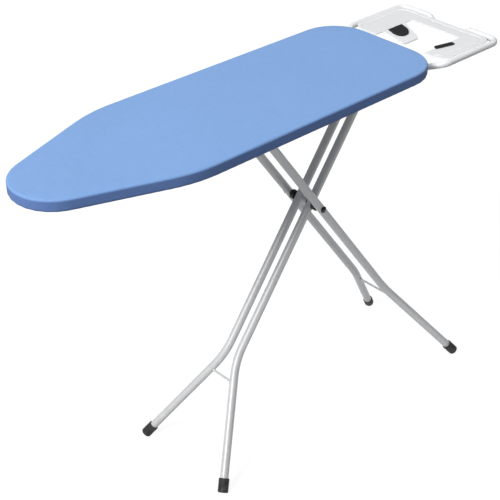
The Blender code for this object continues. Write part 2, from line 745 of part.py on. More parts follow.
def make_latch():
    """A toothed bar over the slide bar, on a pin at its tail end, with a rod to a grip.

    The teeth end a running gap above the slide bar's path.
    """
    pivot_x = SLIDE_X + LATCH_PIVOT_BACK
    low = PIVOT_Z + SLIDE_BAR_RADIUS + RUN_GAP
    high = low + LATCH_DEPTH
    front_x = RAIL_START_X - LEVER_FORWARD
    outline = [(along(pivot_x) + LATCH_DEPTH / 2, low), (along(pivot_x) + LATCH_DEPTH / 2, high)]
    outline += [(along(front_x), high), (along(front_x), low + LATCH_TOOTH)]
    for tooth in reversed(range(LATCH_TEETH)):
        hook = along(SLIDE_X) - tooth * LATCH_PITCH - SLIDE_BAR_RADIUS - RUN_GAP
        outline += [(hook - LATCH_PITCH / 3, low + LATCH_TOOTH), (hook - 0.002, low), (hook, low)]
        outline += [(hook, low + LATCH_TOOTH)]
    outline += [(along(pivot_x) - LATCH_DEPTH, low + LATCH_TOOTH), (along(pivot_x) - LATCH_DEPTH, low)]
    mesh = outline_mesh("latch_bar", outline, LATCH_THICKNESS)
    bar = add_object("latch_bar", mesh, "zinc", (0.0, 0.0, 0.0), ALONG_Y)
    pin_z = low + LATCH_DEPTH / 2
    hole = rod_mesh("latch_bar_hole", LEVER_ROD_RADIUS + RUN_GAP, 3 * LATCH_THICKNESS)
    boolean(bar, add_cutter("latch_bar_hole", hole, (along(pivot_x), 0.0, pin_z)))
    make_latch_bracket(pivot_x, pin_z)
    make_lever_rod(front_x, low + LATCH_TOOTH + LEVER_ROD_RADIUS)
    make_latch_spring(high)


def make_latch_bracket(pivot_x, pin_z):
    """Two ears on a foot under the middle strap's line, and the latch's pin through them."""
    ear_gap = LATCH_THICKNESS / 2 + RUN_GAP
    ear = RAIL_WALL
    half = LATCH_DEPTH / 2 + 0.001
    top = STRAP_UNDER - 2 * SEAT_GAP
    name = "latch_bracket"
    width = 2 * (ear_gap + ear)
    low = pin_z - half
    body = box_mesh(name, (2 * half, width, top - low))
    place = (along(pivot_x), 0.0, (top + low) / 2)
    bracket = add_object(name, body, "zinc", place)
    reach = STRAP_STATIONS["strap_middle"] - STRAP_WIDTH / 2 - pivot_x
    foot_length = abs(reach) + STRAP_WIDTH / 2 + half
    foot = box_mesh(name + "_foot", (foot_length, STRAP_WIDTH, ear))
    foot_x = along(pivot_x) + math.copysign(foot_length / 2 - half, reach)
    boolean(bracket, add_cutter(name + "_foot", foot, (foot_x, 0.0, top - ear / 2)), "UNION")
    slot_high = pin_z + LATCH_DEPTH / 2 + 0.003
    slot = box_mesh(name + "_slot", (4 * half, 2 * ear_gap, slot_high - low + 0.01))
    place = (along(pivot_x), 0.0, (slot_high + low - 0.01) / 2)
    boolean(bracket, add_cutter(name + "_slot", slot, place))
    hole = rod_mesh(name + "_hole", LEVER_ROD_RADIUS + SEAT_GAP, 2 * width)
    boolean(bracket, add_cutter(name + "_hole", hole, (along(pivot_x), 0.0, pin_z)))
    pin = rod_mesh("latch_pin", LEVER_ROD_RADIUS, width + 0.004, sides=16)
    add_object("latch_pin", pin, "zinc", (along(pivot_x), 0.0, pin_z))


def make_lever_rod(front_x, height):
    """A rod from the latch bar's nose end out to a grip near the board's edge."""
    start_y = -(LATCH_THICKNESS / 2 + SEAT_GAP)
    x = along(front_x) + LEVER_ROD_RADIUS + SEAT_GAP
    corner = (x, LEVER_REACH_Y, height)
    end = (x + GRIP_LENGTH, LEVER_REACH_Y, height)
    route = rounded_route([(x, start_y, height), corner, end], [0.012])
    add_object("lever_rod", wire_mesh("lever_rod", route, LEVER_ROD_RADIUS), "zinc")
    bore = LEVER_ROD_RADIUS + SEAT_GAP
    tip = 0.004
    length = GRIP_LENGTH - 0.016
    mesh = turned_mesh("lever_grip", cup_profile(GRIP_RADIUS, bore, tip, length, 0.003), sides=16)
    add_object("lever_grip", mesh, "black_plastic", end, (0.0, math.pi / 2, 0.0))


def make_latch_spring(low):
    """A coil between the latch bar and the front strap."""
    x = along(STRAP_STATIONS["strap_front"])
    high = STRAP_UNDER - 2 * SEAT_GAP - SPRING_WIRE
    low = low + SEAT_GAP + SPRING_WIRE
    steps = SPRING_TURNS * 12
    route = []
    for step in range(steps + 1):
        angle = 2 * math.pi * step / 12
        height = low + (high - low) * step / steps
        route.append((x + SPRING_RADIUS * math.cos(angle), SPRING_RADIUS * math.sin(angle), height))
    add_object("latch_spring", wire_mesh("latch_spring", route, SPRING_WIRE, 1), "zinc")


# Iron rest

def rest_route():
    """The rest tube's axis, from under the tail on the far side round to the near side."""
    under = BOARD_HEIGHT - REST_TUCK_DEPTH - REST_TUBE_RADIUS
    level = BOARD_HEIGHT - REST_DROP
    start_x = along(BOARD_LENGTH - TAIL_RADIUS * 0.9)
    edge_x = along(BOARD_LENGTH + REST_TUBE_RADIUS - REST_TUCK_BEND)
    wide_x = along(BOARD_LENGTH + REST_TUBE_RADIUS + REST_WIDE_X)
    far_x = OVERALL_LENGTH / 2 - REST_TUBE_RADIUS
    half = [
        (start_x, REST_TUCK_HALF, under), (edge_x, REST_TUCK_HALF, under),
        (wide_x, REST_HALF, level), (far_x, REST_HALF, level), (far_x, REST_HALF * REST_DIP_TOP, level),
        (far_x, REST_HALF * REST_DIP_BOTTOM, level - REST_DIP),
    ]
    corners = half + [(x, -y, z) for x, y, z in reversed(half)]
    radii = [REST_CORNER, REST_CORNER, REST_CORNER, REST_CORNER / 2, REST_CORNER / 2]
    return rounded_route(corners, radii + radii[::-1], steps=4)


def plate_outline():
    """The rest's plate in XY: round corners, open to the board between its two arms."""
    start = along(PLATE_START_X)
    bridge = along(PLATE_OPENING_X)
    end = OVERALL_LENGTH / 2 - 2 * REST_TUBE_RADIUS - 4 * SEAT_GAP - REST_END_GAP
    half = REST_HALF - REST_TUBE_RADIUS - 2 * SEAT_GAP
    tuck = PLATE_TUCK
    corners = [
        (start + tuck, half), (start, half - 2 * tuck), (start, PLATE_OPENING_FAR),
        (bridge, PLATE_OPENING_FAR), (bridge, PLATE_OPENING_NEAR), (start, PLATE_OPENING_NEAR),
        (start, 2 * tuck - half), (start + tuck, -half), (end, -half), (end, half),
    ]
    small = PLATE_CORNER / 3
    radii = [PLATE_CORNER, PLATE_CORNER, small, small, small, small, PLATE_CORNER, PLATE_CORNER]
    return rounded_polygon(corners, radii + [PLATE_CORNER, PLATE_CORNER])


def make_rest():
    level = BOARD_HEIGHT - REST_DROP
    route = rest_route()
    add_tube("rest_tube", route, REST_TUBE_RADIUS, REST_TUBE_WALL, "white_paint", resolution=3)
    top = level + REST_TUBE_RADIUS
    mesh = outline_mesh("rest_plate", plate_outline(), PLATE_THICKNESS)
    plate = add_object("rest_plate", mesh, "white_paint", (0.0, 0.0, top - PLATE_THICKNESS / 2))
    boolean(plate, make_tongue(), "UNION")
    make_heel_pad()
    make_rest_strip(top)
    make_rest_saddles()


def on_tongue(x, forward, lift):
    """A point beside the tongue's upper face: forward down its slope, lift off the face."""
    slope = TONGUE_SLOPE
    top = BOARD_HEIGHT - REST_DROP + REST_TUBE_RADIUS
    root = Vector((x, PLATE_OPENING_FAR, top - TONGUE_LAP * math.sin(slope)))
    down = Vector((0.0, -math.cos(slope), -math.sin(slope)))
    normal = Vector((0.0, -math.sin(slope), math.cos(slope)))
    return root + down * forward + normal * lift


def make_tongue():
    """A tapered flap from the far arm into the opening, sloping down."""
    width = TONGUE_WIDTH
    overlap = TONGUE_LAP
    length = TONGUE_LENGTH
    taper = TONGUE_TAPER
    corners = [(0.0, overlap), (0.0, 0.0), (taper, -length), (width - 1.8 * taper, -length)]
    corners += [(width, 0.0), (width, overlap)]
    outline = rounded_polygon(corners, [0.0, 0.0, 0.006, 0.006, 0.0, 0.0])
    mesh = outline_mesh("rest_tongue", outline, PLATE_THICKNESS)
    place = on_tongue(along(TONGUE_START_X), 0.0, -PLATE_THICKNESS / 2)
    return add_cutter("rest_tongue", mesh, place, (TONGUE_SLOPE, 0.0, 0.0))


def make_heel_pad():
    """A D-shaped pad on the tongue's slope, with its round end down the slope."""
    half = HEEL_PAD_WIDTH / 2
    round_part = [
        (half * math.sin(angle), -(HEEL_PAD_LENGTH - half) - half * math.cos(angle))
        for angle in (math.radians(step) for step in range(-90, 91, 15))
    ]
    outline = [(half, 0.0)] + round_part[::-1] + [(-half, 0.0)]
    mesh = outline_mesh("heel_pad", outline[::-1], PAD_RISE)
    middle_x = along(TONGUE_START_X) + TONGUE_WIDTH * 0.5
    place = on_tongue(middle_x, HEEL_PAD_BACK, SEAT_GAP + PAD_RISE / 2)
    pad = add_object("heel_pad", mesh, "black_rubber", place, (TONGUE_SLOPE, 0.0, 0.0))
    round_edges(pad, 0.001, segments=2)


def make_rest_strip(top):
    """A rubber strip on the near arm, a little turned from the board's line."""
    mesh = box_mesh("rest_strip", (STRIP_LENGTH, STRIP_WIDTH, PAD_RISE))
    x = along(PLATE_START_X + STRIP_X)
    place = (x, PLATE_OPENING_NEAR - STRIP_BACK, top + SEAT_GAP + PAD_RISE / 2)
    strip = add_object("rest_strip", mesh, "black_rubber", place, (0.0, 0.0, STRIP_TURN))
    round_edges(strip, 0.001, segments=2)


def make_rest_saddles():
    """A block between the hinge strap and each end of the rest tube, with a screw from below."""
    axis_z = BOARD_HEIGHT - REST_TUCK_DEPTH - REST_TUBE_RADIUS
    top = STRAP_UNDER - 2 * SEAT_GAP
    x = along(HINGE_X)
    tube = bpy.data.objects["rest_tube"]
    for side, suffix in ((-1, "near"), (1, "far")):
        y = side * REST_TUCK_HALF
        name = "rest_saddle_" + suffix
        mesh = box_mesh(name, (SADDLE_LENGTH, SADDLE_WIDTH, top - axis_z))
        saddle = add_object(name, mesh, "black_plastic", (x, y, (top + axis_z) / 2))
        groove = rod_mesh(name + "_groove", REST_TUBE_RADIUS + SEAT_GAP, 2 * SADDLE_LENGTH)
        place = (x, y, axis_z)
        quarter = (0.0, 0.0, math.pi / 2)
        boolean(saddle, add_cutter(name + "_groove", groove, place, quarter))
        hole = rod_mesh(name + "_hole", REST_SCREW_RADIUS + SEAT_GAP, 0.08, sides=16)
        cutter = add_cutter(name + "_hole", hole, place, ALONG_Y)
        boolean(saddle, cutter)
        boolean(tube, cutter)
        seat = -REST_TUBE_RADIUS - SEAT_GAP
        head = REST_SCREW_RADIUS * 2
        profile = [
            (0.0, top - axis_z), (REST_SCREW_RADIUS, top - axis_z), (REST_SCREW_RADIUS, seat),
            (head, seat), (head, seat - 0.001), (head * 0.6, seat - 0.0025), (0.0, seat - 0.0025),
        ]
        name = "rest_screw_" + suffix
        add_object(name, turned_mesh(name, profile, sides=16), "zinc", place)


def main():
    clear_scene()
    make_cover()
    make_pad()
    make_mesh_top()
    make_rim()
    make_straps()
    make_rails()
    make_hinge_brackets()
    make_hinge_pin()
    make_hinge_tube()
    make_slide_bar()
    make_leg("inner", HINGE_X, -1, LEG_RADIUS, INNER_HALF, INNER_FOOT_HALF)
    make_leg("outer", SLIDE_X, 1, SLIDE_BAR_RADIUS, OUTER_HALF, OUTER_FOOT_HALF)
    make_crossing()
    make_latch()
    make_rest()


PARTS = new_collection("ironing_board")
CUTTERS = new_collection("cutters")

main()
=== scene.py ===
"""The looks of a folding ironing board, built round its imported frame.

Every piece is a surface worked out with numpy: a grid of points that is a function of two
parameters, or a section carried along a path. Lengths are in metres, in the frame's own axes:
X along the board with the nose at -X, Y across it, and Z up.
"""

import json
import math

import bmesh
import bpy
import numpy as np
from mathutils import Matrix, Vector


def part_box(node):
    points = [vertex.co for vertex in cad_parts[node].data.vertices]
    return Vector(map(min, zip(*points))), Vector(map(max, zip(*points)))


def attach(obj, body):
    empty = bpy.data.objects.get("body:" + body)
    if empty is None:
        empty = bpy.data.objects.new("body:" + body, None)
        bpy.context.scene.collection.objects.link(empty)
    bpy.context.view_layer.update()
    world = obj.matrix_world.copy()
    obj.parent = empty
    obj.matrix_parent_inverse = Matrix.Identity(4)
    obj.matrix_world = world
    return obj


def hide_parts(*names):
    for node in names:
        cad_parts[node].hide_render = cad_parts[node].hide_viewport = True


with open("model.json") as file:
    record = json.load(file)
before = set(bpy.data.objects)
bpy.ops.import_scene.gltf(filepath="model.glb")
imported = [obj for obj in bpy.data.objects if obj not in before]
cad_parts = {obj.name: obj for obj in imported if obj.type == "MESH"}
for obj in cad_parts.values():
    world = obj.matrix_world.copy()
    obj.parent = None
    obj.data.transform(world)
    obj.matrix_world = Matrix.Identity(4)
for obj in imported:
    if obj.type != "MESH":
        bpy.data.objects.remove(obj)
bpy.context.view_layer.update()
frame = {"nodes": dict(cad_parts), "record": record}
TAU = 2 * math.pi

bl_info = {
    "name": "Ironing Board",
    "version": (1, 0, 0),
    "blender": (4, 5, 0),
    "location": "3D View > Sidebar > Ironing Board",
    "description": "Builds a covered folding ironing board with an iron rest",
    "category": "Add Mesh",
}


# Grids and meshes

def quads_of(rows, columns, wrap_rows=False, wrap_columns=False):
    """Corner indices of a grid's quads, in row-major order."""
    row = np.arange(rows if wrap_rows else rows - 1)
    column = np.arange(columns if wrap_columns else columns - 1)
    row, column = np.meshgrid(row, column, indexing="ij")
    below, beside = (row + 1) % rows, (column + 1) % columns
    corners = [
        row * columns + column, row * columns + beside,
        below * columns + beside, below * columns + column,
    ]
    return np.stack(corners, axis=-1).reshape(-1, 4)


def mesh_of(name, points, quads, uv=None, weld=0.0, smooth=True):
    """A mesh from points (n, 3) and quads (m, 4), with doubles merged and faces turned outwards."""
    mesh = bpy.data.meshes.new(name)
    mesh.vertices.add(len(points))
    mesh.vertices.foreach_set("co", np.asarray(points, np.float32).ravel())
    mesh.loops.add(quads.size)
    mesh.loops.foreach_set("vertex_index", quads.astype(np.int32).ravel())
    mesh.polygons.add(len(quads))
    mesh.polygons.foreach_set("loop_start", np.arange(0, quads.size, 4, dtype=np.int32))
    mesh.update(calc_edges=True)
    if uv is not None:
        layer = mesh.uv_layers.new(name="flat_cloth")
        layer.data.foreach_set("uv", np.asarray(uv, np.float32)[quads.ravel()].ravel())
    tidy_mesh(mesh, weld)
    if smooth:
        mesh.shade_smooth()
    return mesh


def grid_mesh(name, grid, wrap_rows=False, wrap_columns=False, weld=0.0):
    """A mesh from one grid of points."""
    quads = quads_of(*grid.shape[:2], wrap_rows, wrap_columns)
    return mesh_of(name, grid.reshape(-1, 3), quads, weld=weld)


def tidy_mesh(mesh, weld):
    """Merges doubles, drops the collapsed faces and makes the normals consistent."""
    bm = bmesh.new()
    bm.from_mesh(mesh)
    if weld:
        bmesh.ops.remove_doubles(bm, verts=bm.verts, dist=weld)
        bmesh.ops.dissolve_degenerate(bm, edges=bm.edges, dist=weld / 4)
    bmesh.ops.recalc_face_normals(bm, faces=bm.faces)
    bm.to_mesh(mesh)
    bm.free()


def piece_of(name, mesh, body, slot, replaced=()):
    """An object at the origin, in its slot's finish, that rides on a body and stands for nodes."""
    piece = bpy.data.objects.new(name, mesh)
    bpy.context.scene.collection.objects.link(piece)
    mesh.materials.clear()
    mesh.materials.append(finish(slot))
    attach(piece, body)
    if replaced:
        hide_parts(*replaced)
    return piece


def add_wall(piece, thickness, offset=-1.0):
    wall = piece.modifiers.new("wall", "SOLIDIFY")
    wall.thickness = thickness
    wall.offset = offset
    wall.use_even_offset = True
    return wall


def add_sheet_edges(piece, thickness):
    """A wall of sheet metal whose cut edges are rounded."""
    add_wall(piece, thickness)
    edge = piece.modifiers.new("round", "BEVEL")
    edge.width = 0.0004
    edge.segments = 2
    edge.limit_method = "ANGLE"
    edge.angle_limit = math.radians(40)


def unit(vectors):
    return vectors / np.linalg.norm(vectors, axis=-1, keepdims=True)


def tangents(path, closed=False):
    """The direction of a path at each of its points, by central differences."""
    if closed:
        return unit(np.roll(path, -1, axis=0) - np.roll(path, 1, axis=0))
    return unit(np.gradient(path, axis=0))


def run_along(path):
    """How far along a path each of its points is."""
    return np.concatenate([[0], np.cumsum(np.linalg.norm(np.diff(path, axis=0), axis=1))])


def rounded_path(corners, radii, step=0.004):
    """A path through corners whose bends are arcs, with a point about every step.

    Each arc touches both of its corner's sides at radius / tan(half the corner's angle).
    """
    corners = [np.array(corner, float) for corner in corners]
    parts = [corners[0][None]]
    for before, corner, after, radius in zip(corners, corners[1:], corners[2:], radii):
        back, ahead = unit(before - corner), unit(after - corner)
        half = math.acos(float(np.clip(back @ ahead, -1, 1))) / 2
        centre = corner + unit(back + ahead) * radius / math.sin(half)
        start = corner + back * radius / math.tan(half) - centre
        end = corner + ahead * radius / math.tan(half) - centre
        sweep = math.pi - 2 * half
        share = np.linspace(0, 1, max(4, int(radius * sweep / step * 2)))[:, None]
        arc = start * np.sin((1 - share) * sweep) + end * np.sin(share * sweep)
        parts.append(centre + arc / math.sin(sweep))
    parts.append(corners[-1][None])
    knots = np.concatenate(parts)
    return resampled(knots, step)


def resampled(knots, step):
    """Points along a polyline: its own knots, and even steps along its long straights."""
    reach = run_along(knots)
    even = np.linspace(0, reach[-1], max(2, int(reach[-1] / (step * 8)) + 1))
    stations = np.unique(np.round(np.concatenate([reach, even]), 7))
    stations = stations[np.concatenate([[True], np.diff(stations) > step / 8])]
    return np.stack([np.interp(stations, reach, knots[:, axis]) for axis in range(3)], axis=1)


def tube_grid(path, radius, sides=28, up=(0, 0, 1), closed=False):
    """A circle carried along a path: point = path + radius (cos a normal + sin a binormal)."""
    along = tangents(path, closed)
    side = unit(np.cross(np.asarray(up, float), along))
    over = np.cross(along, side)
    angle = np.linspace(0, TAU, sides, endpoint=False)
    radius = np.broadcast_to(np.asarray(radius, float), (len(path),))[:, None, None]
    cos, sin = np.cos(angle)[None, :, None], np.sin(angle)[None, :, None]
    return path[:, None] + radius * (cos * side[:, None] + sin * over[:, None])


def capped(grid, path):
    """A tube's grid with both ends drawn in to the path's end points."""
    start = np.broadcast_to(path[0], grid[:1].shape)
    end = np.broadcast_to(path[-1], grid[-1:].shape)
    return np.concatenate([start, grid, end])


def tube_mesh(name, path, radius, sides=28, up=(0, 0, 1), closed=False):
    grid = tube_grid(path, radius, sides, up, closed)
    if not closed:
        grid = capped(grid, path)
    return grid_mesh(name, grid, closed, True, weld=1e-6)


def turned_grid(profile, origin, axis, sides=48):
    """A profile of (radius, height) points turned about an axis through an origin."""
    axis = unit(np.asarray(axis, float))
    helper = np.array([1.0, 0, 0]) if abs(axis[0]) < 0.9 else np.array([0, 1.0, 0])
    side = unit(np.cross(axis, helper))
    over = np.cross(axis, side)
    angle = np.linspace(0, TAU, sides, endpoint=False)
    ring = np.cos(angle)[:, None] * side + np.sin(angle)[:, None] * over
    profile = np.asarray(profile, float)
    return np.asarray(origin) + profile[:, 0, None, None] * ring + profile[:, 1, None, None] * axis


def turned_mesh(name, profile, origin, axis, sides=48):
    return grid_mesh(name, turned_grid(profile, origin, axis, sides), False, True, weld=1e-6)


def rounded_profile(points, radius, steps=4):
    """A profile of (radius, height) points with its inner corners rounded by arcs."""
    flat = [(*point, 0.0) for point in points]
    parts = [np.array(flat[:1])]
    for before, corner, after in zip(flat, flat[1:], flat[2:]):
        before, corner, after = (np.array(p, float) for p in (before, corner, after))
        room = min(np.linalg.norm(before - corner), np.linalg.norm(after - corner)) * 0.45
        reach = min(radius, room)
        share = np.linspace(0, 1, steps)[:, None]
        start, end = corner + unit(before - corner) * reach, corner + unit(after - corner) * reach
        parts.append((1 - share) ** 2 * start + 2 * share * (1 - share) * corner + share**2 * end)
    parts.append(np.array(flat[-1:]))
    return np.concatenate(parts)[:, :2]


def joined(name, meshes, weld=0.0):
    """One mesh from several of the same material."""
    bm = bmesh.new()
    for mesh in meshes:
        bm.from_mesh(mesh)
    whole = bpy.data.meshes.new(name)
    bm.to_mesh(whole)
    bm.free()
    for mesh in meshes:
        bpy.data.meshes.remove(mesh)
    tidy_mesh(whole, weld)
    whole.shade_smooth()
    return whole


# Board outline

def half_outline(node="mesh_top", count=360):
    """The board's outline, far side from the tail to the nose and back, read from a flat node.

    The node's points are ordered by their angle about the middle of the board, spaced evenly
    along the edge, and smoothed a little, so that the arcs' short chords do not show.
    """
    mesh = frame["nodes"][node].data
    points = np.empty(len(mesh.vertices) * 3, np.float32)
    mesh.vertices.foreach_get("co", points)
    points = np.unique(np.round(points.reshape(-1, 3)[:, :2].astype(float), 5), axis=0)
    centre = (points.min(0) + points.max(0)) / 2
    angle = np.arctan2(points[:, 1] - centre[1], points[:, 0] - centre[0])
    points = points[np.argsort(angle)]
    loop = np.concatenate([points, points[:1]])
    reach = run_along(loop)
    last, first = loop[-2, 1], loop[-1, 1]
    nose = reach[-2] + (reach[-1] - reach[-2]) * last / max(last - first, 1e-9)
    even = (nose + np.linspace(0, reach[-1], count, endpoint=False)) % reach[-1]
    loop = np.stack([np.interp(even, reach, loop[:, axis]) for axis in range(2)], axis=1)
    for _ in range(6):
        loop = loop * 0.5 + (np.roll(loop, 1, axis=0) + np.roll(loop, -1, axis=0)) * 0.25
    mirrored = np.roll(loop[::-1], 1, axis=0) * [1, -1]
    return (loop + mirrored) / 2


def outline_at(half_width, count):
    """The board's outline, moved in or out to a half width."""
    loop = half_outline(count=count)
    return loop + outward(loop) * (half_width - np.abs(loop[:, 1]).max())


def outward(loop):
    """Unit normals that point out of a left-hand loop."""
    along = unit(np.roll(loop, -1, axis=0) - np.roll(loop, 1, axis=0))
    return np.stack([along[:, 1], -along[:, 0]], axis=1)


def outline_grid(loop, section):
    """A section of (outset, z) points carried round an outline.

    point(i, j) = loop(i) + normal(i) * outset(j), at the height z(j).
    """
    section = np.asarray(section, float)
    flat = loop[:, None] + outward(loop)[:, None] * section[None, :, :1]
    height = np.broadcast_to(section[None, :, 1:], (len(loop), len(section), 1))
    return np.concatenate([flat, height], axis=2)


def ladder(edge, steps):
    """Flat rows across the board, from each edge point to its mirror image on the other side.

    point(i, w) = (1 - w) edge(i) + w edge(-i), with w spaced closer at the edges.
    """
    half = len(edge) // 2
    start, end = edge[:half + 1, None, :2], edge[-np.arange(half + 1), None, :2]
    even = np.linspace(0, 1, steps)
    share = 0.65 * even + 0.35 * (1 - np.cos(math.pi * even)) / 2
    return start * (1 - share)[:, None] + end * share[:, None]


def edge_distance(flat, edge):
    """How far each flat point is from the nearest point of an edge ring."""
    ring = edge[None, :, :2]
    return np.stack([np.linalg.norm(row[:, None] - ring, axis=2).min(1) for row in flat])


def stitched(closed, *flat):
    """Points and quads of a ring of sections and of the flat grids that end it."""
    grids = (closed, *flat)
    counts = np.cumsum([0] + [grid[..., 0].size for grid in grids[:-1]])
    quads = np.concatenate([
        quads_of(*grid.shape[:2], grid is closed) + count for grid, count in zip(grids, counts)
    ])
    return np.concatenate([grid.reshape(-1, 3) for grid in grids]), quads


# Sizes and colours

def box_of(node):
    """A node's lowest and highest corners."""
    low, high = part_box(node)
    return np.array(low), np.array(high)


COVER_LOW, COVER_HIGH = box_of("cover")
PAD_LOW, PAD_HIGH = box_of("pad")
MESH_LOW, MESH_HIGH = box_of("mesh_top")
RIM_LOW, RIM_HIGH = box_of("rim_tube")


def middle(node):
    low, high = box_of(node)
    return (low + high) / 2


HINGE = middle("hinge_tube")
SLIDE = middle("slide_bar")
CROSS = middle("cross_spacer_near") * [1, 0, 1]
LEG_SLOPE = (HINGE[2] - CROSS[2]) / (HINGE[0] - CROSS[0])


def size(name, description, default, subtype="DISTANCE", **limits):
    unit_name = "LENGTH" if subtype == "DISTANCE" else "NONE"
    return bpy.props.FloatProperty(
        name=name, description=description, default=default, subtype=subtype,
        unit=unit_name, precision=4, **limits,
    )


def colour(name, description, default):
    return bpy.props.FloatVectorProperty(
        name=name, description=description, default=default, size=3, subtype="COLOR",
        min=0, max=1,
    )


class BoardSizes(bpy.types.PropertyGroup):
    """Sizes of the board's own pieces, in metres."""

    cloth: size("Cloth thickness", "Thickness of the cotton", 0.0008, min=0.0002, max=0.003)
    edge_round: size("Edge round", "Radius of the padded top edge", 0.0050, min=0.002, max=0.013)
    hem_width: size("Hem width", "How far the cover reaches in under the board", 0.019)
    casing: size("Casing radius", "Radius of the rolled hem round its draw cord", 0.0026)
    pucker: size("Pucker height", "Height of the gathers in the hem", 0.0011)
    crown: size("Crown", "Rise of the padded top over its edges", 0.0009)
    diamond_length: size("Diamond length", "Length of an opening in the steel mesh", 0.026)
    diamond_width: size("Diamond width", "Width of an opening in the steel mesh", 0.012)
    strand: size("Strand width", "Width of the steel mesh's strands", 0.0022)


class StandSizes(bpy.types.PropertyGroup):
    """Sizes of the folding stand's pieces, in metres."""

    tube: size("Tube radius", "Radius of the leg tubes", 0.0095, min=0.005, max=0.015)
    bend_height: size("Bend height", "Height at which the legs splay", 0.228)
    bend: size("Bend radius", "Radius of the legs' bends", 0.180)
    foot_shift: size("Foot shift", "Shift of the feet towards the tail", 0.0093)
    inner_half: size("Inner half gap", "Half the gap between the inner tubes' axes", 0.018)
    outer_half: size("Outer half gap", "Half the gap between the outer tubes' axes", 0.049)
    inner_foot: size("Inner foot", "Inner feet from the middle line", 0.138)
    outer_foot: size("Outer foot", "Outer feet from the middle line", 0.148)
    tip_height: size("Tip height", "Height of the tubes' axes at the tips of the caps", 0.0045)
    cap: size("Cap radius", "Radius of the foot caps", 0.012)
    cap_tip: size("Cap tip", "Rubber past the end of the tube", 0.008)
    cap_sleeve: size("Cap sleeve", "Length of the cap's sleeve", 0.024)
    brace: size("Brace radius", "Radius of the brace wires", 0.0025)
    bead: size("Weld bead", "Radius of the weld beads", 0.0016)


class RestSizes(bpy.types.PropertyGroup):
    """Sizes of the iron rest, in metres."""

    tube: size("Tube radius", "Radius of the rest's tube", 0.007)
    plate: size("Plate thickness", "Thickness of the sheet", 0.0016)
    lip: size("Rolled edge", "Radius of the sheet's rolled edge", 0.0022)
    drop: size("Drop", "The rest tube's axis under the board's top", 0.022)
    dip: size("Dip", "Dip in the far end of the tube", 0.018)
    corner: size("Corner", "Bend radius of the tube's corners", 0.024)


class Finishes(bpy.types.PropertyGroup):
    """Colours of the finishes, as linear values."""

    cotton: colour("Cotton", "The cover", (0.220, 0.410, 0.780))
    # Painted shade: a darker blue for the cover's sides and hem, standing in for the shade on the
    # side band.
    sides: colour("Cotton sides", "The cover's sides and hem", (0.125, 0.245, 0.590))
    felt: colour("Felt", "The pad", (0.72, 0.70, 0.66))
    silver: colour("Silver powder coat", "The stand", (0.80, 0.80, 0.80))
    white: colour("White powder coat", "The iron rest", (0.95, 0.95, 0.95))
    zinc: colour("Zinc plate", "Bolts, washers and the latch", (0.55, 0.56, 0.58))
    # Painted shade: this near-black colour for the crossing bolt stands in for the shade it sits
    # in.
    dark: colour("Black oxide", "The crossing bolt", (0.05, 0.05, 0.055))
    steel: colour("Bare steel", "Where paint has worn off", (0.32, 0.31, 0.30))
    plastic: colour("Black plastic", "Bushes, spacers and the grip", (0.012, 0.012, 0.013))
    rubber: colour("Black rubber", "Foot caps and heel pads", (0.014, 0.014, 0.015))
    floor: colour("Floor", "The floor", (0.20, 0.20, 0.20))


# Node groups and materials

def put(tree, value, socket):
    """Feeds a socket with another socket, a number or a colour."""
    if isinstance(value, bpy.types.NodeSocket):
        tree.links.new(value, socket)
    elif isinstance(value, (int, float)):
        socket.default_value = value
    else:
        socket.default_value = (*value, 1)[:len(socket.default_value)]


def node(tree, kind, inputs=None, **settings):
    """A node with its settings, its inputs fed by sockets, numbers or colours."""
    made = tree.nodes.new("ShaderNode" + kind)
    for key, value in settings.items():
        setattr(made, key, value)
    for key, value in (inputs or {}).items():
        put(tree, value, made.inputs[key])
    return made


def node_group(name, inputs, outputs):
    """An empty shader group with named sockets.

    inputs maps names to default values, and outputs is the names of values that come out.
    """
    group = bpy.data.node_groups.new(name, "ShaderNodeTree")
    for title, default in inputs.items():
        kind = "NodeSocketVector" if isinstance(default, tuple) else "NodeSocketFloat"
        socket = group.interface.new_socket(title, in_out="INPUT", socket_type=kind)
        socket.default_value = default
    for title in outputs:
        group.interface.new_socket(title, in_out="OUTPUT", socket_type="NodeSocketFloat")
    given, out = group.nodes.new("NodeGroupInput"), group.nodes.new("NodeGroupOutput")
    return group, given.outputs, out.inputs


def maths(tree, operation, *operands, clamp=False):
    """A Math node's output; each of its operands is a socket or a number."""
    inputs = dict(enumerate(operands))
    return node(tree, "Math", inputs, operation=operation, use_clamp=clamp).outputs[0]


def times(tree, first, second):
    return maths(tree, "MULTIPLY", first, second)


def plus(tree, first, second, clamp=False):
    return maths(tree, "ADD", first, second, clamp=clamp)


def less(tree, first, second, clamp=False):
    return maths(tree, "SUBTRACT", first, second, clamp=clamp)


def ramp(tree, value, low, high):
    """A value eased from nought at low to one at high, and held past them."""
    inputs = {"Value": value, "From Min": low, "From Max": high}
    return node(tree, "MapRange", inputs, interpolation_type="SMOOTHSTEP").outputs["Result"]


def mixed(tree, share, first, second, blend="MIX"):
    """A colour Mix node's output; each operand is a socket or a colour."""
    inputs = {0: share, 6: first, 7: second}
    return node(tree, "Mix", inputs, data_type="RGBA", blend_type=blend).outputs[2]


def noise(tree, vector, scale, detail=2.0, roughness=0.5, distortion=0.0):
    inputs = {"Vector": vector, "Scale": scale, "Detail": detail, "Roughness": roughness,
              "Distortion": distortion}
    return node(tree, "TexNoise", inputs).outputs["Fac"]


def stretched(tree, vector, factors):
    """A place whose three axes are drawn out by their own factors."""
    return node(tree, "VectorMath", {0: vector, 1: factors}, operation="MULTIPLY").outputs[0]


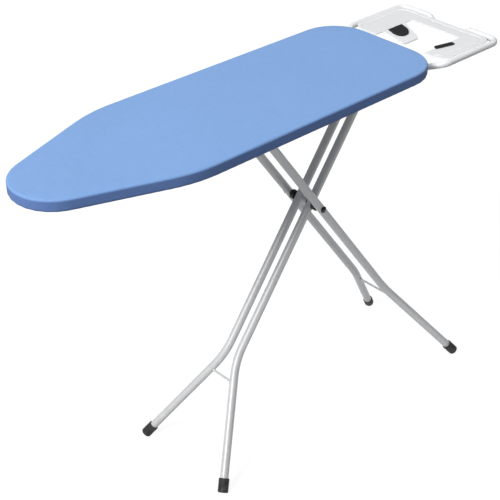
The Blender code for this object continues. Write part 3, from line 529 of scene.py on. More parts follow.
def make_weave_group():
    """Plain weave: over and under threads are two sine ridges across each other.

    height = max(|sin(pi u)| where the warp is over, |sin(pi v)| where the weft is over), and the
    threads' own thickness and shade wander with noise along them.
    """
    group, given, out = node_group(
        "woven_threads", {"Vector": (0, 0, 0), "Threads per metre": 1600.0, "Slub": 0.5},
        ("Height", "Thread shade", "Warp"),
    )
    inputs = {0: given["Vector"], "Scale": given["Threads per metre"]}
    scaled = node(group, "VectorMath", inputs, operation="SCALE").outputs[0]
    axes = node(group, "SeparateXYZ", {0: scaled}).outputs
    warp, weft = (
        maths(group, "ABSOLUTE", maths(group, "SINE", times(group, axis, math.pi)))
        for axis in (axes[0], axes[1])
    )
    over = node(group, "TexChecker", {"Vector": scaled, "Scale": 1.0}).outputs["Fac"]
    height = plus(group, times(group, warp, over), times(group, weft, less(group, 1.0, over)))
    wander = [
        noise(group, stretched(group, scaled, factors), 0.9)
        for factors in ((0.02, 1.0, 1.0), (1.0, 0.02, 1.0))
    ]
    shade = times(group, less(group, plus(group, *wander), 1.0), given["Slub"])
    put(group, plus(group, height, times(group, shade, 0.6)), out["Height"])
    put(group, shade, out["Thread shade"])
    put(group, over, out["Warp"])
    return group


def make_cloud_group():
    """Soft uneven shade: broad noise and fine noise, centred on nought."""
    group, given, out = node_group(
        "uneven_shade",
        {"Vector": (0, 0, 0), "Broad scale": 6.0, "Fine scale": 90.0, "Fine share": 0.3},
        ("Shade",),
    )
    broad = noise(group, given["Vector"], given["Broad scale"], 3.0)
    fine = noise(group, given["Vector"], given["Fine scale"], 2.0, 0.6)
    sharp = times(group, less(group, fine, 0.5), given["Fine share"])
    put(group, plus(group, less(group, broad, 0.5), sharp), out["Shade"])
    return group


def make_wear_group():
    """Wear and handling: short scratches and small chips out of stretched and thresholded noise."""
    group, given, out = node_group(
        "wear_marks", {"Vector": (0, 0, 0), "Scratches": 0.3, "Chips": 0.3}, ("Scratch", "Chip"),
    )
    place = given["Vector"]
    marks = [
        ramp(group, noise(group, stretched(group, place, factors), 1.0, 1.0), 0.70, 0.80)
        for factors in ((900.0, 60.0, 90.0), (70.0, 800.0, 60.0))
    ]
    put(group, times(group, maths(group, "MAXIMUM", *marks), given["Scratches"]), out["Scratch"])
    specks = ramp(group, noise(group, place, 230.0, 2.0, 0.7), 0.70, 0.73)
    patches = ramp(group, noise(group, place, 9.0), 0.56, 0.66)
    put(group, times(group, times(group, specks, patches), given["Chips"]), out["Chip"])
    return group


def make_dust_group():
    """Dust: a share that rises towards the floor, broken up by noise."""
    group, given, out = node_group(
        "floor_dust", {"Vector": (0, 0, 0), "Height": 0.12, "Amount": 0.2}, ("Dust",),
    )
    height = node(group, "SeparateXYZ", {0: given["Vector"]}).outputs["Z"]
    share = less(group, 1.0, maths(group, "DIVIDE", height, given["Height"]), clamp=True)
    broken = ramp(group, noise(group, given["Vector"], 60.0, 4.0, 0.7), 0.38, 0.68)
    put(group, times(group, times(group, share, broken), given["Amount"]), out["Dust"])
    return group


GROUP_MAKERS = {
    "woven_threads": make_weave_group, "uneven_shade": make_cloud_group,
    "wear_marks": make_wear_group, "floor_dust": make_dust_group,
}


def placed(tree, name, vector, **values):
    """The outputs of a shared group in a material, with its own values."""
    made = tree.nodes.new("ShaderNodeGroup")
    made.node_tree = bpy.data.node_groups.get(name) or GROUP_MAKERS[name]()
    put(tree, vector, made.inputs["Vector"])
    for key, value in values.items():
        put(tree, value, made.inputs[key.replace("_", " ")])
    return made.outputs


def new_material(name, **shader):
    """A material with a Principled shader, its constant values set on the shader's own sockets.

    Returns the material, its tree, the shader's inputs and the place on the object.
    """
    made = bpy.data.materials.new("finish_" + name)
    made.use_nodes = True
    tree = made.node_tree
    tree.nodes.clear()
    surface = node(tree, "BsdfPrincipled", {key.replace("_", " "): v for key, v in shader.items()})
    node(tree, "OutputMaterial", {"Surface": surface.outputs[0]}).target = "ALL"
    return made, tree, surface.inputs, node(tree, "TexCoord").outputs["Object"]


def shaded(tree, base, shade, strength):
    """A colour made lighter and darker by a value centred on nought."""
    level = plus(tree, times(tree, shade, strength), 1.0)
    grey = node(tree, "CombineColor", {0: level, 1: level, 2: level}).outputs[0]
    return mixed(tree, 1.0, base, grey, "MULTIPLY")


def bump(tree, height, distance, strength, under=None):
    inputs = {"Height": height, "Distance": distance, "Strength": strength}
    if under is not None:
        inputs["Normal"] = under
    return node(tree, "Bump", inputs).outputs[0]


def finish(name):
    """The named finish's material, made once."""
    return bpy.data.materials.get("finish_" + name) or FINISH_MAKERS[name](name)


def tone(name):
    return tuple(getattr(bpy.context.scene.board_finishes, name))


def make_cotton(name):
    """Dyed plain-weave cotton: threads in the flat cloth's own directions, slubs and soft shade.

    The sides and hem get a darker blue than the top: painted shade for the side band that the key
    light does not reach.
    """
    made, tree, surface, place = new_material(
        name, Roughness=0.82, Sheen_Weight=0.22, Sheen_Roughness=0.45,
        Sheen_Tint=(0.75, 0.85, 1.0), Specular_IOR_Level=0.25,
    )
    cloth = node(tree, "UVMap", uv_map="flat_cloth").outputs[0]
    weave = placed(tree, "woven_threads", cloth, Threads_per_metre=1500.0, Slub=0.9)
    cloud = placed(tree, "uneven_shade", place, Broad_scale=5.0, Fine_scale=140.0, Fine_share=0.35)
    height = node(tree, "SeparateXYZ", {"Vector": place}).outputs["Z"]
    # Painted shade: below the top's edge the cotton turns to the darker sides colour, for the
    # shaded side band.
    unshaded_top_mask = ramp(tree, height, COVER_HIGH[2] - 0.0065, COVER_HIGH[2] - 0.0022)
    cotton_with_painted_side_shade = mixed(tree, unshaded_top_mask, tone("sides"), tone("cotton"))
    base = shaded(tree, cotton_with_painted_side_shade, weave["Thread shade"], 0.35)
    base = shaded(tree, base, cloud["Shade"], 0.10)
    over = times(tree, weave["Warp"], 0.10)
    put(tree, mixed(tree, over, base, (0.62, 0.72, 0.92)), surface["Base Color"])
    creases = bump(tree, noise(tree, place, 16.0, 3.0, 0.45, 0.6), 0.0012, 0.35)
    put(tree, bump(tree, weave["Height"], 0.00012, 0.8, creases), surface["Normal"])
    return made


def make_felt(name):
    """Pressed felt: short fibres and pale flecks as fine noise."""
    made, tree, surface, place = new_material(name, Roughness=0.95, Sheen_Weight=0.4)
    cloud = placed(tree, "uneven_shade", place, Broad_scale=14.0, Fine_scale=500.0, Fine_share=0.9)
    put(tree, shaded(tree, tone("felt"), cloud["Shade"], 0.35), surface["Base Color"])
    put(tree, bump(tree, cloud["Shade"], 0.0006, 0.7), surface["Normal"])
    return made


def make_powder(name, base, roughness, metallic, chips):
    """Powder coat: orange-peel bump, soft shade, scratches, and chips down to steel."""
    made, tree, surface, place = new_material(
        name, Coat_Weight=0.15, Coat_Roughness=0.25, Specular_IOR_Level=0.5,
    )
    cloud = placed(tree, "uneven_shade", place, Broad_scale=7.0, Fine_scale=420.0, Fine_share=0.5)
    wear = placed(tree, "wear_marks", place, Scratches=0.25, Chips=chips)
    dust = placed(tree, "floor_dust", place, Height=0.16, Amount=0.25)
    colour_now = mixed(tree, wear["Chip"], shaded(tree, base, cloud["Shade"], 0.09), tone("steel"))
    rough = plus(tree, times(tree, cloud["Shade"], 0.12), roughness)
    rough = plus(tree, rough, times(tree, wear["Scratch"], 0.3), clamp=True)
    peel = noise(tree, place, 620.0)
    height = less(tree, peel, times(tree, wear["Chip"], 2.0))
    put(tree, mixed(tree, dust["Dust"], colour_now, (0.42, 0.39, 0.35)), surface["Base Color"])
    put(tree, rough, surface["Roughness"])
    put(tree, plus(tree, wear["Chip"], metallic, clamp=True), surface["Metallic"])
    put(tree, bump(tree, height, 0.00006, 0.6), surface["Normal"])
    return made


def make_plated(name, base):
    """Plated steel: faint crystals, brushed shade and scratches."""
    made, tree, surface, place = new_material(name, Metallic=1.0)
    crystals = node(tree, "TexVoronoi", {"Vector": place, "Scale": 260.0}).outputs["Color"]
    cloud = placed(tree, "uneven_shade", place, Broad_scale=30.0, Fine_scale=700.0, Fine_share=0.6)
    wear = placed(tree, "wear_marks", place, Scratches=0.6, Chips=0.0)
    base = shaded(tree, base, less(tree, crystals, 0.5), 0.14)
    rough = plus(tree, times(tree, cloud["Shade"], 0.2), 0.34)
    rough = plus(tree, rough, times(tree, wear["Scratch"], 0.3), clamp=True)
    put(tree, shaded(tree, base, cloud["Shade"], 0.15), surface["Base Color"])
    put(tree, rough, surface["Roughness"])
    put(tree, bump(tree, cloud["Shade"], 0.00005, 0.5), surface["Normal"])
    return made


def make_moulded(name, base, roughness, grain, depth, dusty):
    """Moulded plastic or rubber: a fine spark-eroded grain, handling marks and dust."""
    made, tree, surface, place = new_material(name, Specular_IOR_Level=0.45)
    cloud = placed(tree, "uneven_shade", place, Broad_scale=20.0, Fine_scale=grain, Fine_share=1.0)
    wear = placed(tree, "wear_marks", place, Scratches=0.5, Chips=0.0)
    dust = placed(tree, "floor_dust", place, Height=0.05, Amount=dusty)
    base = shaded(tree, base, cloud["Shade"], 0.5)
    base = mixed(tree, times(tree, wear["Scratch"], 0.25), base, (0.08, 0.08, 0.08))
    put(tree, mixed(tree, dust["Dust"], base, (0.20, 0.19, 0.17)), surface["Base Color"])
    rough = plus(tree, times(tree, cloud["Shade"], 0.25), roughness, clamp=True)
    put(tree, rough, surface["Roughness"])
    put(tree, bump(tree, cloud["Shade"], depth, 0.6), surface["Normal"])
    return made


FINISH_MAKERS = {
    "cotton_cover": make_cotton,
    "felt_pad": make_felt,
    "grey_paint": lambda name: make_powder(name, tone("silver"), 0.45, 0.15, 0.5),
    "white_paint": lambda name: make_powder(name, tone("white"), 0.36, 0.0, 0.25),
    "zinc": lambda name: make_plated(name, tone("zinc")),
    # Painted shade: the crossing bolt's finish is made near black for the shade it sits in.
    "dark_steel": lambda name: make_plated(name, tone("dark")),
    "black_plastic": lambda name: make_moulded(name, tone("plastic"), 0.46, 900.0, 0.00006, 0.1),
    "black_rubber": lambda name: make_moulded(name, tone("rubber"), 0.62, 500.0, 0.00012, 0.5),
}


# Board pieces

def waves(along_edge, count, seed, strength=0.6):
    """A ripple with about count crests along 0..1, whose spacing and height wander."""
    chance = np.random.default_rng(seed)
    phases, heights = chance.uniform(0, TAU, 9), chance.uniform(0.4, 1.0, 9)
    terms = np.arange(1, 10)
    turn = TAU * along_edge[:, None]
    drift = (heights * np.sin(turn * terms + phases)).sum(1) / 9
    level = 0.7 + strength * (heights * np.cos(turn * terms[::-1] + phases)).sum(1) / 6
    return np.sin(TAU * count * along_edge + 6.0 * drift) * np.clip(level, 0.15, 1.3)


def arc_points(centre, radius, start, end, steps):
    """Points of a section's arc, by angle in degrees from +outset towards +z."""
    angle = np.radians(np.linspace(start, end, steps))
    return np.array(centre) + radius * np.stack([np.cos(angle), np.sin(angle)], axis=1)


def cover_section(sizes):
    """The cover's section, hem to top: rolled casing, underside, side and rounded top edge."""
    low, high = COVER_LOW[2], COVER_HIGH[2] - sizes.crown
    roll, turn, edge = sizes.casing, 0.0065, sizes.edge_round
    casing = arc_points((-sizes.hem_width, low + roll), roll, 20, 270, 12)
    under = np.stack([np.linspace(-sizes.hem_width, -turn, 7)[1:-1], np.full(5, low)], axis=1)
    bottom = arc_points((-turn, low + turn), turn, -90, 0, 7)
    side = np.stack([np.zeros(5), np.linspace(low + turn, high - edge, 7)[1:-1]], axis=1)
    top = arc_points((-edge, high - edge), edge, 0, 90, 9)
    return np.concatenate([casing, under, bottom, side, top])


def top_height(flat, distance, crown):
    """Height over the padded edge: a crown that levels off, and long shallow waves."""
    rise = crown * (1 - (1 - np.clip(distance / 0.055, 0, 1)) ** 2)
    x, y = flat[..., 0], flat[..., 1]
    sway = np.sin(9 * x + 2.1 * np.sin(11 * y + 0.7)) + 0.8 * np.sin(17 * y - 6 * x + 1.3)
    sway = sway + 0.5 * np.sin(31 * x + 13 * y + 0.4) * np.cos(23 * y - 5 * x)
    return rise + 0.00025 * sway * np.clip(distance / 0.04, 0, 1)


def top_sheet(edge, level, crown, steps=48):
    """The padded top as rows across the board at a level, with its crown."""
    flat = ladder(edge, steps)
    height = level + top_height(flat, edge_distance(flat, edge), crown)
    return np.concatenate([flat, height[:, :, None]], axis=2)


class BOARD_OT_cover(bpy.types.Operator):
    """Makes the cotton cover.

    point(u, v): v runs along the section from the rolled hem, under the rim, up the side and
    over the edge; u runs round the outline. Gathers move the hem up and down by a rippling
    function of u that dies away up the side. Rows across the board close the top.
    """

    bl_idname = "ironing_board.cover"
    bl_label = "Cover"

    def execute(self, context):
        sizes = context.scene.board_sizes
        loop = outline_at(COVER_HIGH[1], 640)
        normal = outward(loop)
        section = cover_section(sizes)
        grid = outline_grid(loop, section)
        place = np.linspace(0, 1, len(loop), endpoint=False)
        bend = np.linalg.norm(np.roll(normal, -6, axis=0) - np.roll(normal, 6, axis=0), axis=1)
        bend = np.convolve(np.tile(bend, 3), np.ones(41) / 41, "same")[len(loop):2 * len(loop)]
        gather = 0.35 + np.clip(bend / bend.max(), 0, 1)
        ripple = waves(place, 118, 3) * gather
        levels = [COVER_LOW[2], COVER_LOW[2] + 0.012, COVER_HIGH[2] - 0.006]
        depth = np.interp(section[:, 1], levels, [1, 0.22, 0])
        inside = np.clip(-section[:, 0] / sizes.hem_width, 0, 1)
        grid[:, :, 2] -= sizes.pucker * 0.5 * ripple[:, None] * (depth * inside)[None]
        press = sizes.pucker * 0.45 * ripple[:, None] * (depth * (1 - inside))[None]
        grid[:, :, :2] += normal[:, None] * press[:, :, None]
        edge = grid[:, -1]
        top = top_sheet(edge, COVER_HIGH[2] - sizes.crown, sizes.crown)
        run = run_along(section)
        flat = edge[:, None, :2] + normal[:, None] * (run[-1] - run)[None, :, None]
        points, quads = stitched(grid, top)
        uv = np.concatenate([flat.reshape(-1, 2), top[:, :, :2].reshape(-1, 2)])
        mesh = mesh_of("cotton_cover", points, quads, uv=uv, weld=2e-6)
        cover = piece_of("cotton_cover", mesh, "board", "cotton_cover", ["cover"])
        add_wall(cover, sizes.cloth).use_even_offset = False
        return {"FINISHED"}


class BOARD_OT_pad(bpy.types.Operator):
    """Makes the felt pad: a closed slab with soft edges, section(v) carried round outline(u)."""

    bl_idname = "ironing_board.pad"
    bl_label = "Felt pad"

    def execute(self, context):
        sizes = context.scene.board_sizes
        low, high = PAD_LOW[2], COVER_HIGH[2] - sizes.crown - sizes.cloth - 0.0003
        loop = outline_at(PAD_HIGH[1] - 0.0006, 480)
        edge = min(sizes.edge_round - sizes.cloth, high - low - 0.0012)
        section = np.concatenate([
            arc_points((-0.001, low + 0.001), 0.001, -90, 0, 4),
            arc_points((-edge, high - edge), edge, 0, 90, 9),
        ])
        ring = outline_grid(loop, section)
        top = top_sheet(ring[:, -1], high, sizes.crown, 40)
        under = ladder(ring[:, 0], 40)
        under = np.concatenate([under, np.full((*under.shape[:2], 1), low)], axis=2)
        points, quads = stitched(ring, top, under)
        mesh = mesh_of("felt_pad", points, quads, weld=2e-6)
        pad = piece_of("felt_pad", mesh, "board", "felt_pad", ["pad"])
        return {"FINISHED"}


def inside_outline(points, loop):
    """Which of the points (n, 2) lie inside a loop, by counting the edges crossed along +X."""
    start, end = loop, np.roll(loop, -1, axis=0)
    x, y = points[:, None, 0], points[:, None, 1]
    crosses = (start[None, :, 1] > y) != (end[None, :, 1] > y)
    rise = np.where(end[:, 1] == start[:, 1], 1e-12, end[:, 1] - start[:, 1])
    where = start[:, 0] + (y - start[:, 1]) * (end[:, 0] - start[:, 0]) / rise
    return (crosses & (x < where)).sum(1) % 2 == 1


class BOARD_OT_steel_mesh(bpy.types.Operator):
    """Makes the expanded steel top.

    Each strand zigzags along X: y(x) = row +/- width / 4 times a flattened triangle wave, with
    neighbouring strands in opposite phase, so that they meet and enclose diamonds. A plain
    border runs round the outline.
    """

    bl_idname = "ironing_board.steel_mesh"
    bl_label = "Steel mesh"

    def execute(self, context):
        sizes = context.scene.board_sizes
        loop = half_outline(count=360)
        inner = loop - outward(loop) * 0.013
        height = MESH_HIGH[2]
        period = sizes.diamond_length
        x = np.arange(MESH_LOW[0], MESH_HIGH[0], period / 8)
        phase = (x - MESH_LOW[0]) / period
        wave = np.clip(1.25 * (2 * np.abs(2 * (phase % 1) - 1) - 1), -1, 1)
        reach = MESH_HIGH[1]
        count_up = reach / (sizes.diamond_width / 2)
        rows = np.arange(-math.floor(count_up), count_up)
        sign = np.where(rows % 2 == 0, 1.0, -1.0)
        swing = sizes.diamond_width / 4 - sizes.strand * 0.15
        centre = rows[:, None] * sizes.diamond_width / 2 + sign[:, None] * wave[None] * swing
        twist = 0.00035 * np.cos(TAU * phase * 2)
        edges = []
        for side in (-0.5, 0.5):
            level = height - 0.0008 + side * 0.0006 + 0 * centre + twist[None] * side
            across = centre + side * sizes.strand
            edges.append(np.stack([x[None] + 0 * centre, across, level], axis=-1))
        strips = np.stack(edges, axis=2)
        count = len(x)
        quads = quads_of(count, 2)
        quads = (quads[None] + (np.arange(len(rows)) * count * 2)[:, None, None]).reshape(-1, 4)
        points = strips.reshape(-1, 3)
        kept = inside_outline(points[quads].mean(1)[:, :2], inner)
        strands = mesh_of("strands", points, quads[kept])
        low = height - 0.0006
        section = [(-0.016, low), (-0.013, height), (-0.004, height), (0.0, low)]
        band = outline_grid(loop, section)
        border = grid_mesh("border", band, True)
        mesh = joined("steel_mesh", [strands, border])
        top = piece_of("steel_mesh", mesh, "board", "grey_paint", ["mesh_top"])
        add_wall(top, 0.0007, 0.0)
        return {"FINISHED"}


class BOARD_OT_rim(bpy.types.Operator):
    """Makes the rim tube: a circle carried round the board's outline."""

    bl_idname = "ironing_board.rim"
    bl_label = "Rim tube"

    def execute(self, context):
        radius = (RIM_HIGH[2] - RIM_LOW[2]) / 2
        loop = outline_at(RIM_HIGH[1] - radius, 360)
        path = np.column_stack([loop, np.full(len(loop), (RIM_HIGH[2] + RIM_LOW[2]) / 2)])
        mesh = tube_mesh("rim_tube_coated", path, radius, sides=24, closed=True)
        piece_of("rim_tube_coated", mesh, "board", "grey_paint", ["rim_tube"])
        return {"FINISHED"}


# Stand pieces

SLIDE_BAR_RADIUS = 0.008


def leg_path(top, lean, half, foot_half, side, stand):
    """A leg's axis from its top tube's axis down to its end inside the foot cap."""
    def across(height, shift=0.0):
        return top[0] + lean * (top[2] - height) / LEG_SLOPE + shift

    bend = np.array([across(stand.bend_height), side * half, stand.bend_height])
    tip = np.array([across(stand.tip_height, stand.foot_shift), side * foot_half, stand.tip_height])
    end = tip + unit(bend - tip) * stand.cap_tip
    return rounded_path([(top[0], side * half, top[2]), bend, end], [stand.bend])


def leg_paths(stand):
    """Each leg's pair, side, body, cross bar's radius and axis."""
    pairs = (
        ("inner", "inner_leg", HINGE, -1, stand.inner_half, stand.inner_foot, stand.tube),
        ("outer", "outer_leg", SLIDE, 1, stand.outer_half, stand.outer_foot, SLIDE_BAR_RADIUS),
    )
    for prefix, body, top, lean, half, foot, bar in pairs:
        for side, suffix in ((-1, "near"), (1, "far")):
            yield prefix, suffix, body, bar, leg_path(top, lean, half, foot, side, stand)


def bead_path(path, radius, bar_radius, steps=48):
    """Where a leg's surface meets its cross bar: along(a) = sqrt(bar^2 - (leg cos a)^2)."""
    down = unit(path[1] - path[0])
    side = unit(np.cross(down, [0, 1.0, 0]))
    angle = np.linspace(0, TAU, steps, endpoint=False)[:, None]
    run = np.sqrt(np.clip(bar_radius**2 - (radius * np.cos(angle))**2, (bar_radius * 0.2)**2, None))
    ring = np.cos(angle) * side + np.sin(angle) * np.array([0, 1.0, 0])
    lumps = 1 + 0.06 * np.sin(9 * angle) + 0.04 * np.sin(23 * angle)
    return path[0] + down * run + ring * radius * lumps, down


class STAND_OT_legs(bpy.types.Operator):
    """Makes the four leg tubes, each a circle carried down a bent path, and their weld beads."""

    bl_idname = "ironing_board.legs"
    bl_label = "Legs"

    def execute(self, context):
        stand = context.scene.stand_sizes
        beads = {"inner": [], "outer": []}
        for prefix, suffix, body, bar, path in leg_paths(stand):
            name = f"{prefix}_leg_{suffix}"
            mesh = tube_mesh(name, path, stand.tube, sides=32, up=(1, 0, 0.1))
            piece_of(name, mesh, body, "grey_paint", [f"{prefix}_tube_{suffix}"])
            seam, down = bead_path(path, stand.tube, bar)
            beads[prefix].append(
                tube_mesh("bead", seam, stand.bead, sides=10, up=down, closed=True))
            if suffix == "far":
                mesh = joined(f"{prefix}_welds", beads[prefix])
                piece_of(f"{prefix}_welds", mesh, body, "grey_paint")
        return {"FINISHED"}


class STAND_OT_bars(bpy.types.Operator):
    """Makes the hinge tube and the slide bar: open tubes as a profile turned about Y."""

    bl_idname = "ironing_board.bars"
    bl_label = "Cross bars"

    def execute(self, context):
        bars = (("hinge_tube", "inner_leg", HINGE), ("slide_bar", "outer_leg", SLIDE))
        for name, body, spot in bars:
            low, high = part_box(name)
            radius, half = (high[2] - low[2]) / 2, high[1]
            bore, edge = radius - 0.0012, 0.0003
            profile = [(bore, -half), (radius - edge, -half), (radius, -half + edge),
                       (radius, half - edge), (radius - edge, half), (bore, half), (bore, -half)]
            origin = (spot[0], 0, spot[2])
            mesh = turned_mesh(name + "_coated", profile, origin, (0, 1, 0), sides=40)
            piece_of(name + "_coated", mesh, body, "grey_paint", [name])
        return {"FINISHED"}


class STAND_OT_braces(bpy.types.Operator):
    """Makes the brace wires: a circle carried straight from tube to tube, wider at its ends."""

    bl_idname = "ironing_board.braces"
    bl_label = "Brace wires"

    def execute(self, context):
        stand = context.scene.stand_sizes
        for prefix, body in (("inner", "inner_leg"), ("outer", "outer_leg")):
            low, high = box_of(prefix + "_brace")
            x, z = (low[0] + high[0]) / 2, (low[2] + high[2]) / 2
            reach = high[1] + 0.0015
            y = np.linspace(-reach, reach, 61)
            ends = np.clip((np.abs(y) - (reach - 0.006)) / 0.006, 0, 1)
            radius = stand.brace + 0.0014 * ends**2
            path = np.column_stack([np.full_like(y, x), y, np.full_like(y, z)])
            mesh = tube_mesh(prefix + "_brace_wire", path, radius, sides=20)
            piece_of(prefix + "_brace_wire", mesh, body, "grey_paint",
                     [prefix + "_brace"])
        return {"FINISHED"}


class STAND_OT_foot_caps(bpy.types.Operator):
    """Makes the rubber foot caps.

    A profile with a domed tip, grip rings and a rounded lip is turned about the leg's axis; what
    falls under the floor is pressed flat onto it.
    """

    bl_idname = "ironing_board.foot_caps"
    bl_label = "Foot caps"

    def execute(self, context):
        stand = context.scene.stand_sizes
        outer, tip, sleeve = stand.cap, stand.cap_tip, stand.cap_sleeve
        bore = stand.tube + 0.0002
        tip_round, ring_depth, ring_pitch = 0.0035, 0.00045, 0.0034
        height = np.linspace(tip - tip_round, -sleeve + 0.0016, 72)
        rings = ring_depth * np.clip(np.cos(TAU * (height + 0.001) / ring_pitch) - 0.35, 0, 1)
        rings = rings * ((height > -0.0165) & (height < 0.002))
        side = np.column_stack([outer - rings, height])
        dome = arc_points((outer - tip_round, tip - tip_round), tip_round, 90, 0, 8)[:-1]
        profile = np.concatenate([
            [(0.0, tip)], dome, side, [(outer - 0.0002, -sleeve + 0.0008)],
            [(outer - 0.0008, -sleeve), (bore + 0.0005, -sleeve), (bore, -sleeve + 0.0006),
             (bore, 0.0), (0.0, 0.0)],
        ])
        for prefix, suffix, body, _, path in leg_paths(stand):
            grid = turned_grid(profile, path[-1], path[-1] - path[-2], sides=56)
            grid[..., 2] = np.maximum(grid[..., 2], 0.0)
            name = f"{prefix}_cap_{suffix}"
            mesh = grid_mesh(name, grid, False, True, weld=1e-6)
            piece_of(name, mesh, body, "black_rubber", [f"{prefix}_foot_{suffix}"])
        return {"FINISHED"}


class STAND_OT_crossing(bpy.types.Operator):
    """Makes the spacers, sleeve and bolt at the legs' crossing, as profiles turned about Y."""

    bl_idname = "ironing_board.crossing"
    bl_label = "Crossing"

    def execute(self, context):
        bore, edge, groove_half, groove_depth = 0.0045, 0.0008, 0.002, 0.0007
        rings = (("cross_spacer_near", "outer_leg", "black_plastic"),
                 ("cross_spacer_far", "outer_leg", "black_plastic"),
                 ("cross_sleeve", "inner_leg", "grey_paint"))
        for name, body, coat in rings:
            low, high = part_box(name)
            radius = (high[2] - low[2]) / 2
            inner, outer = low[1], high[1]
            waist = (inner + outer) / 2
            profile = rounded_profile([
                (bore, inner), (radius, inner), (radius, waist - groove_half),
                (radius - groove_depth, waist), (radius, waist + groove_half),
                (radius, outer), (bore, outer), (bore, inner),
            ], edge)
            mesh = turned_mesh(name + "_turned", profile, CROSS, (0, 1, 0), sides=48)
            piece_of(name + "_turned", mesh, body, coat, [name])
        low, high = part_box("cross_bolt")
        shank, chamfer, head = 0.004, 0.0006, (high[2] - low[2]) / 2
        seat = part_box("cross_washer_near")[0][1] - 0.0003
        dome = arc_points((0.0, 0.0), 1.0, 90, 4, 9) * [head, seat - low[1]]
        dome[:, 1] = seat - dome[:, 1]
        profile = np.concatenate([
            [(0.0, low[1])], dome[1:], [(head, seat), (shank, seat)],
            [(shank, high[1] - chamfer), (shank - chamfer, high[1]), (0.0, high[1])],
        ])
        mesh = turned_mesh("cross_rivet", profile, CROSS, (0, 1, 0), sides=48)
        # Painted shade: the rivet's near-black finish stands in for the shade at the legs'
        # crossing.
        piece_of("cross_rivet", mesh, "outer_leg", "dark_steel", ["cross_bolt"])
        return {"FINISHED"}


# Height lever

class LEVER_OT_grip(bpy.types.Operator):
    """Makes the lever's rod, a circle along a bent path, and its grip, a waved profile turned."""

    bl_idname = "ironing_board.grip"
    bl_label = "Lever grip"

    def execute(self, context):
        low, high = box_of("lever_rod")
        radius = 0.003
        x, z = low[0] + radius, (low[2] + high[2]) / 2
        far_y, near_y = high[1], low[1] + radius
        path = rounded_path([(x, far_y, z), (x, near_y, z), (high[0], near_y, z)], [0.012])
        mesh = tube_mesh("lever_rod_plated", path, radius, sides=20)
        piece_of("lever_rod_plated", mesh, "height_lever", "zinc", ["lever_rod"])
        low, high = box_of("lever_grip")
        outer, bore = (high[2] - low[2]) / 2, radius + 0.0003
        height = np.linspace(low[0] + 0.0012, high[0] - 0.005, 90)
        waist = 0.0009 * np.sin(TAU * (height - low[0]) / 0.0165) ** 2
        body = np.column_stack([outer - waist, height])
        tip = arc_points((outer - 0.005, high[0] - 0.005), 0.005, 0, 90, 9)[1:]
        profile = np.concatenate([
            [(bore, low[0] + 0.006), (bore, low[0]), (outer - 0.0012, low[0])], body, tip,
            [(0.0, high[0])],
        ])
        origin = (0, middle("lever_grip")[1], z)
        mesh = turned_mesh("lever_handle", profile, origin, (1, 0, 0), sides=40)
        piece_of("lever_handle", mesh, "height_lever", "black_plastic",
                 ["lever_grip"])
        return {"FINISHED"}


# Iron rest

REST_LOW, REST_HIGH = box_of("rest_tube")
PLATE_LOW, PLATE_HIGH = box_of("rest_plate")


class REST_OT_tube(bpy.types.Operator):
    """Makes the iron rest's tube: a circle carried round a loop with a dip in its far end."""

    bl_idname = "ironing_board.rest_tube"
    bl_label = "Rest tube"

    def execute(self, context):
        rest = context.scene.rest_sizes
        level = COVER_HIGH[2] - rest.drop
        under = REST_LOW[2] + rest.tube
        tail = COVER_HIGH[0]
        tuck = middle("rest_saddle_far")[1]
        wide, end = REST_HIGH[1] - rest.tube, REST_HIGH[0] - rest.tube
        far = [
            (REST_LOW[0], tuck, under), (tail - 0.012, tuck, under), (tail + 0.028, wide, level),
            (end, wide, level), (end, wide * 0.42, level), (end, wide * 0.25, level - rest.dip),
        ]
        corners = far + [(x, -y, z) for x, y, z in reversed(far)]
        radii = [rest.corner] * 3 + [rest.corner / 2] * 2
        path = rounded_path(corners, radii + radii[::-1], step=0.003)
        mesh = tube_mesh("rest_tube_coated", path, rest.tube, sides=32, up=(0, 0, 1))
        piece_of("rest_tube_coated", mesh, "board", "white_paint", ["rest_tube"])
        return {"FINISHED"}


def knotted(corners, radii, spans, per_span):
    """A rounded polyline with the same count of points in each span between chosen corners.

    Returns points in XY. The spans end at the middles of the corners' arcs.
    """
    path = rounded_path([(x, y, 0.0) for x, y in corners], radii, step=0.0012)[:, :2]
    reach = run_along(path)
    marks = [0.0]
    for index in spans:
        gap = np.linalg.norm(path - np.array(corners[index]), axis=1)
        marks.append(reach[gap.argmin()])
    marks.append(reach[-1])
    stations = [np.linspace(a, b, per_span, endpoint=False) for a, b in zip(marks, marks[1:])]
    stations = np.concatenate(stations + [[marks[-1]]])
    return np.stack([np.interp(stations, reach, path[:, axis]) for axis in range(2)], axis=1)


